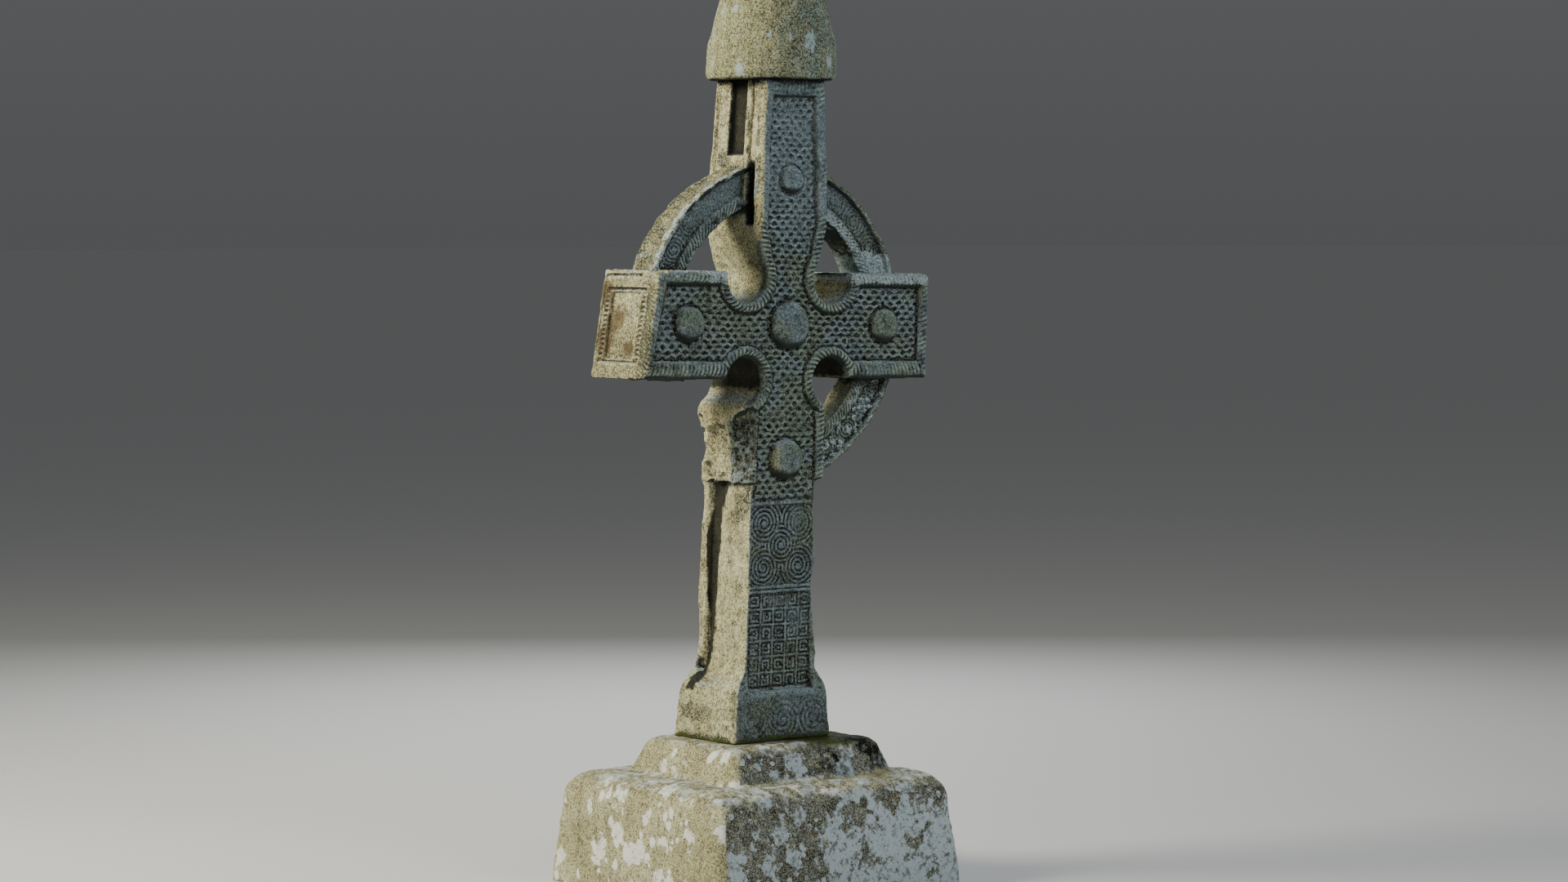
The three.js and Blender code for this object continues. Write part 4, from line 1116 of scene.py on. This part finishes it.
# Bare stone on the sides: washed tan, darker where water sits, with brown stains and black grains, painted
# shade in its crevices and recesses, and a painted highlight on what stands out
washed = tint(tree, between(tree, blotch, 0.35, 0.62), TAN, PALE_TAN)
washed = coat(tree, washed, OLIVE, between(tree, patch, 0.46, 0.66), 0.5)
washed = coat(tree, washed, OLIVE, between(tree, dapple, 0.50, 0.66), 0.45)
stain = mottle(tree, shifted(tree, place, (1.0, 9.0, 4.0)), 120.0, 5.0, 0.7)
washed = coat(tree, washed, BROWN, between(tree, stain, 0.50, 0.64), 0.6)
end_damp = times(tree, between(tree, place_x, -0.60, -0.66), between(tree, place_z, 1.93, 1.98))
end_damp = times(tree, end_damp, between(tree, patch, 0.26, 0.56))
washed = coat(tree, washed, OLIVE, end_damp, 0.7)
# Painted shade, brown in the crevices and black in the deep recesses, and a paler painted highlight on what
# stands out
washed = coat(tree, washed, BROWN, between(tree, crevice, 0.10, 0.8), 0.85)
washed = coat(tree, washed, PALE_TAN, between(tree, crevice, -0.25, -0.9), 0.45)
washed = tint(tree, between(tree, recess, 0.35, 0.9), washed, SOOT_AND_SHADE)
washed = grained(tree, washed, speck, grit)
washed = coat(tree, washed, DARK_OLIVE, rope_gap, 0.75)
stained = stored(tree, "stained")
damp_spot = plus(tree, stained, swing(tree, dapple, 1.6))
damp_spot = times(tree, between(tree, damp_spot, 0.30, 0.75), between(tree, stained, 0.05, 0.3))
washed = coat(tree, washed, BROWN, damp_spot, 0.78)

# The dark skin of the front: grey-green on the ribs, blue-grey in places and higher up, painted shade in
# black in the pits and recesses, and on what stands out a pale crust that is partly a painted highlight
high_up = times(tree, between(tree, place_z, 2.35, 2.95), 0.30)
blue_share = plus(tree, blotch, high_up)
skin_tone = tint(tree, between(tree, blue_share, 0.42, 0.58), GREEN_SKIN, BLUE_SKIN)
skin_tone = coat(tree, skin_tone, DARK_SKIN_AND_SHADE, between(tree, dapple, 0.47, 0.66), 0.6)
skin_tone = coat(tree, skin_tone, DARK_SKIN_AND_SHADE, between(tree, patch, 0.50, 0.66), 0.5)
# Painted shade in the pits and recesses, then a pale crust that is partly a painted highlight on what stands
# out
skin_tone = tint(tree, between(tree, crevice, -0.30, 0.30), skin_tone, DARK_SKIN_AND_SHADE)
skin_tone = tint(tree, between(tree, crevice, 0.05, 0.5), skin_tone, SOOT_AND_SHADE)
raised = times(tree, between(tree, crevice, -0.3, -1.0), between(tree, patch, 0.58, 0.36))
raised = times(tree, raised, plus(tree, 0.40, times(tree, high_up, 1.8)))
skin_tone = coat(tree, skin_tone, BLUE_SKIN, high_up, 1.6)
skin_tone = tint(tree, raised, skin_tone, CRUST_AND_HIGHLIGHT)
rope_tone = times(tree, between(tree, roped, 0.15, 0.7), between(tree, patch, 0.60, 0.38))
skin_tone = coat(tree, skin_tone, ROPE_SKIN, rope_tone, 0.75)
skin_tone = coat(tree, skin_tone, DARK_SKIN_AND_SHADE, rope_gap, 0.8)
skin_tone = coat(tree, skin_tone, SOOT_AND_SHADE, between(tree, recess, 0.25, 0.9), 0.75)
skin_tone = grained(tree, skin_tone, speck, grit, 0.6)

# Faces towards -X take the washed tan: weathering, and painted sunlight on that side
washed_and_sunlit = times(tree, face_x, -1.0)
washed_and_sunlit = plus(tree, washed_and_sunlit, swing(tree, patch, 0.5))
washed_and_sunlit = between(tree, washed_and_sunlit, 0.40, 0.62)
washed_and_sunlit = times(tree, washed_and_sunlit, minus(tree, 1.0, times(tree, skinned, 0.92)))
# Faces turned to the front, and the skinned places, take the dark skin: lichen, and on the front-facing faces
# painted shade as well
shady = most(tree, between(tree, times(tree, face_y, -1.0), 0.35, 0.75), skinned)
plain = tint(tree, between(tree, patch, 0.4, 0.62), washed, grained(tree, GREEN_SKIN, speck, grit))
body = tint(tree, shady, plain, skin_tone)
body = tint(tree, washed_and_sunlit, body, washed)
rim_green = times(tree, stored(tree, "greened"), between(tree, patch, 0.26, 0.50))
rim_tone = tint(tree, between(tree, dapple, 0.42, 0.58), OLIVE, DARK_OLIVE)
body = tint(tree, times(tree, rim_green, 0.95), body, grained(tree, rim_tone, speck, grit))
# Faces turned downwards take the dark skin colour as painted shade under the arms and the ring
body = tint(tree, between(tree, face_z, -0.25, -0.7), body, DARK_SKIN_AND_SHADE)
upward = times(tree, between(tree, face_z, 0.35, 0.8), between(tree, patch, 0.40, 0.60))
upward = times(tree, upward, minus(tree, 1.0, stored(tree, "greened")))
ragged = plus(tree, stored(tree, "crusted"), swing(tree, dapple, 2.2))
ragged = times(tree, between(tree, ragged, 0.52, 0.66), between(tree, stored(tree, "crusted"), 0.05, 0.3))
upward = most(tree, times(tree, upward, 0.7), times(tree, ragged, 0.9))
body = tint(tree, upward, body, grained(tree, CRUST_AND_HIGHLIGHT, speck, grit))
# Painted shade and soot, near black, where the attribute marks it
shade_and_soot = plus(tree, stored(tree, "shade_and_soot"), swing(tree, dapple, 0.8))
shade_and_soot = times(tree, between(tree, shade_and_soot, 0.15, 0.75), between(tree, stored(tree, "shade_and_soot"), 0.02, 0.2))
body = coat(tree, body, SOOT_AND_SHADE, shade_and_soot, 0.94)
at_foot = between(tree, plus(tree, place_z, times(tree, patch, -0.07)), 0.56, 0.535)
body = tint(tree, at_foot, body, MOSS)
height = plus(tree, speck, times(tree, grit, 0.6))
height = minus(tree, height, times(tree, rope_gap, 0.8))
finish_stone(tree, body, between(tree, patch, -0.6, 0.6), height, 4.0)
ringed_cross.data.materials.append(cross_finish)

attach(ringed_cross, "root")
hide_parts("ringed_cross")

# The capstone: a separate round stone with a broad worn belt and a blunt cone above it. It lies on the cross
# by its own weight, and rain has greened it and left pale crusts.

CAP_FOOT = 3116.3
CAP_HEIGHT = 500.0
CAP_TRIANGLES = 110000
CAP_PROFILE = (
    (0.0, 236.0), (8.0, 246.0), (26.0, 252.0), (60.0, 250.0), (138.0, 249.0), (158.0, 243.0), (178.0, 235.0),
    (240.0, 222.0), (300.0, 206.0), (380.0, 179.0), (425.0, 159.0), (460.0, 136.0), (484.0, 104.0),
    (497.0, 40.0),
)
cap_step = 4.5
CAP_GRID_HALF = 276.0
cap_x = np.arange(-CAP_GRID_HALF, CAP_GRID_HALF + cap_step, cap_step).astype(np.float32)
cap_z = np.arange(CAP_FOOT - 2.5 * cap_step, CAP_FOOT + CAP_HEIGHT + 4.0 * cap_step, cap_step)
cap_z = cap_z.astype(np.float32)
cap_low = (-300.0, -300.0, 3050.0)
cap_high = (300.0, 300.0, 3700.0)
cap_reach = np.hypot(cap_x[:, None], cap_x[None, :])[:, :, None]
cap_up = (cap_z - CAP_FOOT)[None, None, :]
cap_wall = np.interp(cap_z - CAP_FOOT, *zip(*CAP_PROFILE))[None, None, :]
cap_coarse = noise_on(random_lattice(cap_low, cap_high, 95.0, 41), cap_x, cap_x, cap_z)
cap_middle = noise_on(random_lattice(cap_low, cap_high, 32.0, 42), cap_x, cap_x, cap_z)
cap_fine = noise_on(random_lattice(cap_low, cap_high, 13.0, 43), cap_x, cap_x, cap_z)
cap_body = larger(cap_reach - cap_wall, cap_up - CAP_HEIGHT, 30.0)
cap_body = cap_body + 3.0 * cap_coarse + 2.2 * cap_middle + 1.2 * cap_fine
cap_body = np.maximum(cap_body, -cap_up)
cap_points, cap_faces = skin_of(cap_body, (cap_x[0], cap_x[0], cap_z[0]), cap_step)
capstone = stone_object("capstone_stone", cap_points, cap_faces, CAP_TRIANGLES)
place_points(capstone, leaned(points_of(capstone) / MM))

YELLOW_STONE = (0.27, 0.27, 0.125, 1.0)
GREEN_STONE = (0.105, 0.145, 0.105, 1.0)
cap_finish, tree, place, place_parts, face_parts = stone_material("greened_sandstone")
_, _, place_z = place_parts
face_x, face_y, _ = face_parts
blotch = mottle(tree, place, 230.0, 4.0)
patch = mottle(tree, shifted(tree, place, (4.0, 2.2, 0.3)), 90.0, 5.0, 0.62)
speck = mottle(tree, place, 13.0, 3.0, 0.75)
grit = mottle(tree, shifted(tree, place, (7.0, 2.0, 1.0)), 6.0, 2.0, 0.7)
# Yellower on the faces towards -X and the back, greener towards +X and the front
greener_side = plus(tree, times(tree, face_x, 0.9), times(tree, face_y, -0.35))
greener_side = plus(tree, greener_side, swing(tree, blotch, 1.6))
body = tint(tree, between(tree, greener_side, -0.65, 0.30), YELLOW_STONE, GREEN_STONE)
body = coat(tree, body, PALE_TAN, between(tree, patch, 0.5, 0.66), 0.2)
run_down = mottle(tree, shifted(tree, place, (0.0, 5.0, 0.0), (1.0, 1.0, 0.16)), 34.0, 4.0, 0.6)
body = coat(tree, body, OLIVE, between(tree, run_down, 0.48, 0.62), 0.65)
body = coat(tree, body, CRUST_AND_HIGHLIGHT, between(tree, run_down, 0.46, 0.34), 0.25)
body = grained(tree, body, speck, grit)
cap_crust = mottle(tree, shifted(tree, place, (2.0, 6.0, 3.0), (1.0, 1.0, 0.6)), 60.0, 4.0, 0.55)
body = coat(tree, body, CRUST_AND_HIGHLIGHT, between(tree, cap_crust, 0.6, 0.66), 0.7)
# A thin band of painted shade along the cap's foot, where it sits on the cross
joint_shade = between(tree, plus(tree, place_z, times(tree, patch, -0.02)), 3.114, 3.106)
body = tint(tree, joint_shade, body, SOOT_AND_SHADE)
height = plus(tree, speck, times(tree, grit, 0.6))
finish_stone(tree, body, between(tree, patch, -0.6, 0.6), height, 2.6)
capstone.data.materials.append(cap_finish)

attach(capstone, "root")
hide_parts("capstone")

# The plinth: one block with a battered body and a smaller battered step worked on its top. Its edges are
# rounded by weather, and pale lichen grows on it, most of all low on the front.

BLOCK_HEIGHT = 430.0
BLOCK_HALF_X = 610.0
BLOCK_HALF_Y = 556.0
BLOCK_BATTER_X = 36.0
BLOCK_BATTER_Y = 56.0
STEP_HALF_X = 347.0
STEP_HALF_Y = 286.0
STEP_BATTER_X = 50.0
STEP_BATTER_Y = 56.0
STEP_AT_X = 18.0
STEP_AT_Y = -12.0
PLINTH_TRIANGLES = 150000

plinth_step = 6.5
GRID_MARGIN = 18.0
block_reach_x = BLOCK_HALF_X + GRID_MARGIN
block_reach_y = BLOCK_HALF_Y + GRID_MARGIN
block_x = np.arange(-block_reach_x, block_reach_x + plinth_step, plinth_step).astype(np.float32)
block_y = np.arange(-block_reach_y, block_reach_y + plinth_step, plinth_step).astype(np.float32)
block_z = np.arange(-2.5 * plinth_step, SEAT_Z + 3.0 * plinth_step, plinth_step).astype(np.float32)
plinth_low = (-660.0, -660.0, -60.0)
plinth_high = (660.0, 660.0, 660.0)
plinth_coarse = noise_on(random_lattice(plinth_low, plinth_high, 170.0, 61), block_x, block_y, block_z)
plinth_middle = noise_on(random_lattice(plinth_low, plinth_high, 60.0, 62), block_x, block_y, block_z)
plinth_fine = noise_on(random_lattice(plinth_low, plinth_high, 20.0, 63), block_x, block_y, block_z)
across, deep, up = block_x[:, None, None], block_y[None, :, None], block_z[None, None, :]
climb = up / BLOCK_HEIGHT
block = larger(
    np.abs(across) - (BLOCK_HALF_X - BLOCK_BATTER_X * climb),
    np.abs(deep) - (BLOCK_HALF_Y - BLOCK_BATTER_Y * climb),
    74.0,
)
block = larger(block, up - BLOCK_HEIGHT - 4.0, 110.0)
step_climb = np.clip((SEAT_Z - up) / (SEAT_Z - BLOCK_HEIGHT), -0.2, 1.3)
top_step = larger(
    np.abs(across - STEP_AT_X) - (STEP_HALF_X + STEP_BATTER_X * step_climb),
    np.abs(deep - STEP_AT_Y) - (STEP_HALF_Y + STEP_BATTER_Y * step_climb),
    46.0,
)
top_step = larger(top_step, up - SEAT_Z, 44.0)
plinth_body = smaller(block, top_step, 22.0) + 4.5 * plinth_coarse + 3.0 * plinth_middle + 1.4 * plinth_fine

# The seat of the cross was dressed flat, and so was the underside
seat_clear = larger(np.abs(across) - 250.0, np.abs(deep) - 215.0, 20.0)
plinth_body = np.where((seat_clear < 0.0) & (up > SEAT_Z - 30.0), up - SEAT_Z, plinth_body)
plinth_body = np.maximum(plinth_body, np.maximum(-up, up - SEAT_Z))
block_points, block_faces = skin_of(plinth_body, (block_x[0], block_y[0], block_z[0]), plinth_step)
plinth = stone_object("plinth_stone", block_points, block_faces, PLINTH_TRIANGLES)

GREY_STONE = (0.165, 0.175, 0.145, 1.0)
DARK_STONE = (0.070, 0.068, 0.042, 1.0)
LICHEN = (0.50, 0.58, 0.60, 1.0)
WHITE_LICHEN = (0.86, 0.87, 0.80, 1.0)
plinth_finish, tree, place, place_parts, face_parts = stone_material("blotched_sandstone")
place_x, _, place_z = place_parts
face_x, face_y, face_z = face_parts
blotch = mottle(tree, place, 260.0, 4.0)
patch = mottle(tree, shifted(tree, place, (2.0, 3.0, 4.0)), 85.0, 5.0, 0.66)
dapple = mottle(tree, shifted(tree, place, (1.1, 6.7, 2.2)), 30.0, 4.0, 0.65)
speck = mottle(tree, place, 11.0, 4.0, 0.8)
grit = mottle(tree, shifted(tree, place, (7.0, 2.0, 1.0)), 6.0, 2.0, 0.7)
streak = mottle(tree, shifted(tree, place, (0.0, 0.0, 0.0), (1.0, 1.0, 0.4)), 48.0, 5.0, 0.66)
uneven = swing(tree, patch, 0.25)
# Faces towards -X take the washed tan, partly painted sunlight
washed_and_sunlit = minus(tree, uneven, face_x)
washed_and_sunlit = between(tree, washed_and_sunlit, 0.3, 0.5)
upward = between(tree, face_z, 0.45, 0.85)

# The washed side, towards -X: tan, lighter there as painted sunlight, with olive streaks and round white
# lichens
washed = tint(tree, between(tree, blotch, 0.38, 0.62), TAN, PALE_TAN)
washed = coat(tree, washed, OLIVE, between(tree, streak, 0.5, 0.64), 0.45)
washed = coat(tree, washed, BROWN, between(tree, dapple, 0.52, 0.66), 0.45)
washed = grained(tree, washed, speck, grit)
ragged = swing(tree, dapple, 0.4)
for spacing, size in ((105.0, 0.40), (50.0, 0.36)):
    scattered = spots(tree, shifted(tree, place, (0.3, spacing, 0.1), (1.0, 1.0, 0.8)), spacing)
    scattered = between(tree, plus(tree, scattered, ragged), size, size - 0.025)
    scattered = times(tree, scattered, between(tree, blotch, 0.48, 0.52))
    scattered = times(tree, scattered, between(tree, speck, 0.66, 0.54))
    washed = coat(tree, washed, WHITE_LICHEN, scattered, 0.92)

# The shaded front: grey-brown under crisp blue-white lichen, which closes up low down and to the right
grey = tint(tree, between(tree, patch, 0.4, 0.6), GREY_STONE, DARK_STONE)
grey = coat(tree, grey, DARK_STONE, between(tree, dapple, 0.5, 0.62), 0.5)
grey = coat(tree, grey, TAN, between(tree, dapple, 0.46, 0.36), 0.5)
grey = grained(tree, grey, speck, grit)
low_and_right = plus(tree, times(tree, place_z, -0.26), times(tree, place_x, 0.09))
cover = plus(tree, mottle(tree, shifted(tree, place, (5.0, 1.0, 2.0)), 120.0, 8.0, 0.72), low_and_right)
cover = times(tree, between(tree, cover, 0.425, 0.452), between(tree, speck, 0.66, 0.54))
lichen_tone = tint(tree, between(tree, dapple, 0.5, 0.66), LICHEN, GREY_STONE)
dots = spots(tree, shifted(tree, place, (0.6, 0.2, 0.4)), 40.0)
dots = between(tree, plus(tree, dots, ragged), 0.36, 0.32)
dots = times(tree, dots, between(tree, patch, 0.46, 0.54))
cover = most(tree, cover, dots)
grey = coat(tree, grey, lichen_tone, cover, 0.92)
body = tint(tree, washed_and_sunlit, grey, washed)
topping = tint(tree, between(tree, dapple, 0.40, 0.62), washed, grained(tree, OLIVE, speck, grit))
topping = coat(tree, topping, lichen_tone, between(tree, patch, 0.50, 0.60), 0.8)
body = coat(tree, body, topping, upward, 0.75)

# Moss and a black stain lie where water runs off the cross
near_cross = times(tree, between(tree, place_z, 0.535, 0.560), between(tree, patch, 0.62, 0.50))
near_cross = times(tree, near_cross, between(tree, place_x, -0.15, 0.10))
body = tint(tree, near_cross, body, MOSS)
wet = times(tree, between(tree, place_z, 0.42, 0.50), between(tree, face_y, 0.3, -0.1))
wet = times(tree, wet, between(tree, place_x, 0.0, 0.12))
wet = times(tree, wet, between(tree, patch, 0.50, 0.58))
body = tint(tree, wet, body, SOOT_AND_SHADE)
height = plus(tree, speck, times(tree, grit, 0.6))
finish_stone(tree, body, between(tree, patch, -0.6, 0.6), height, 4.0)
plinth.data.materials.append(plinth_finish)

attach(plinth, "root")
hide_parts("plinth")
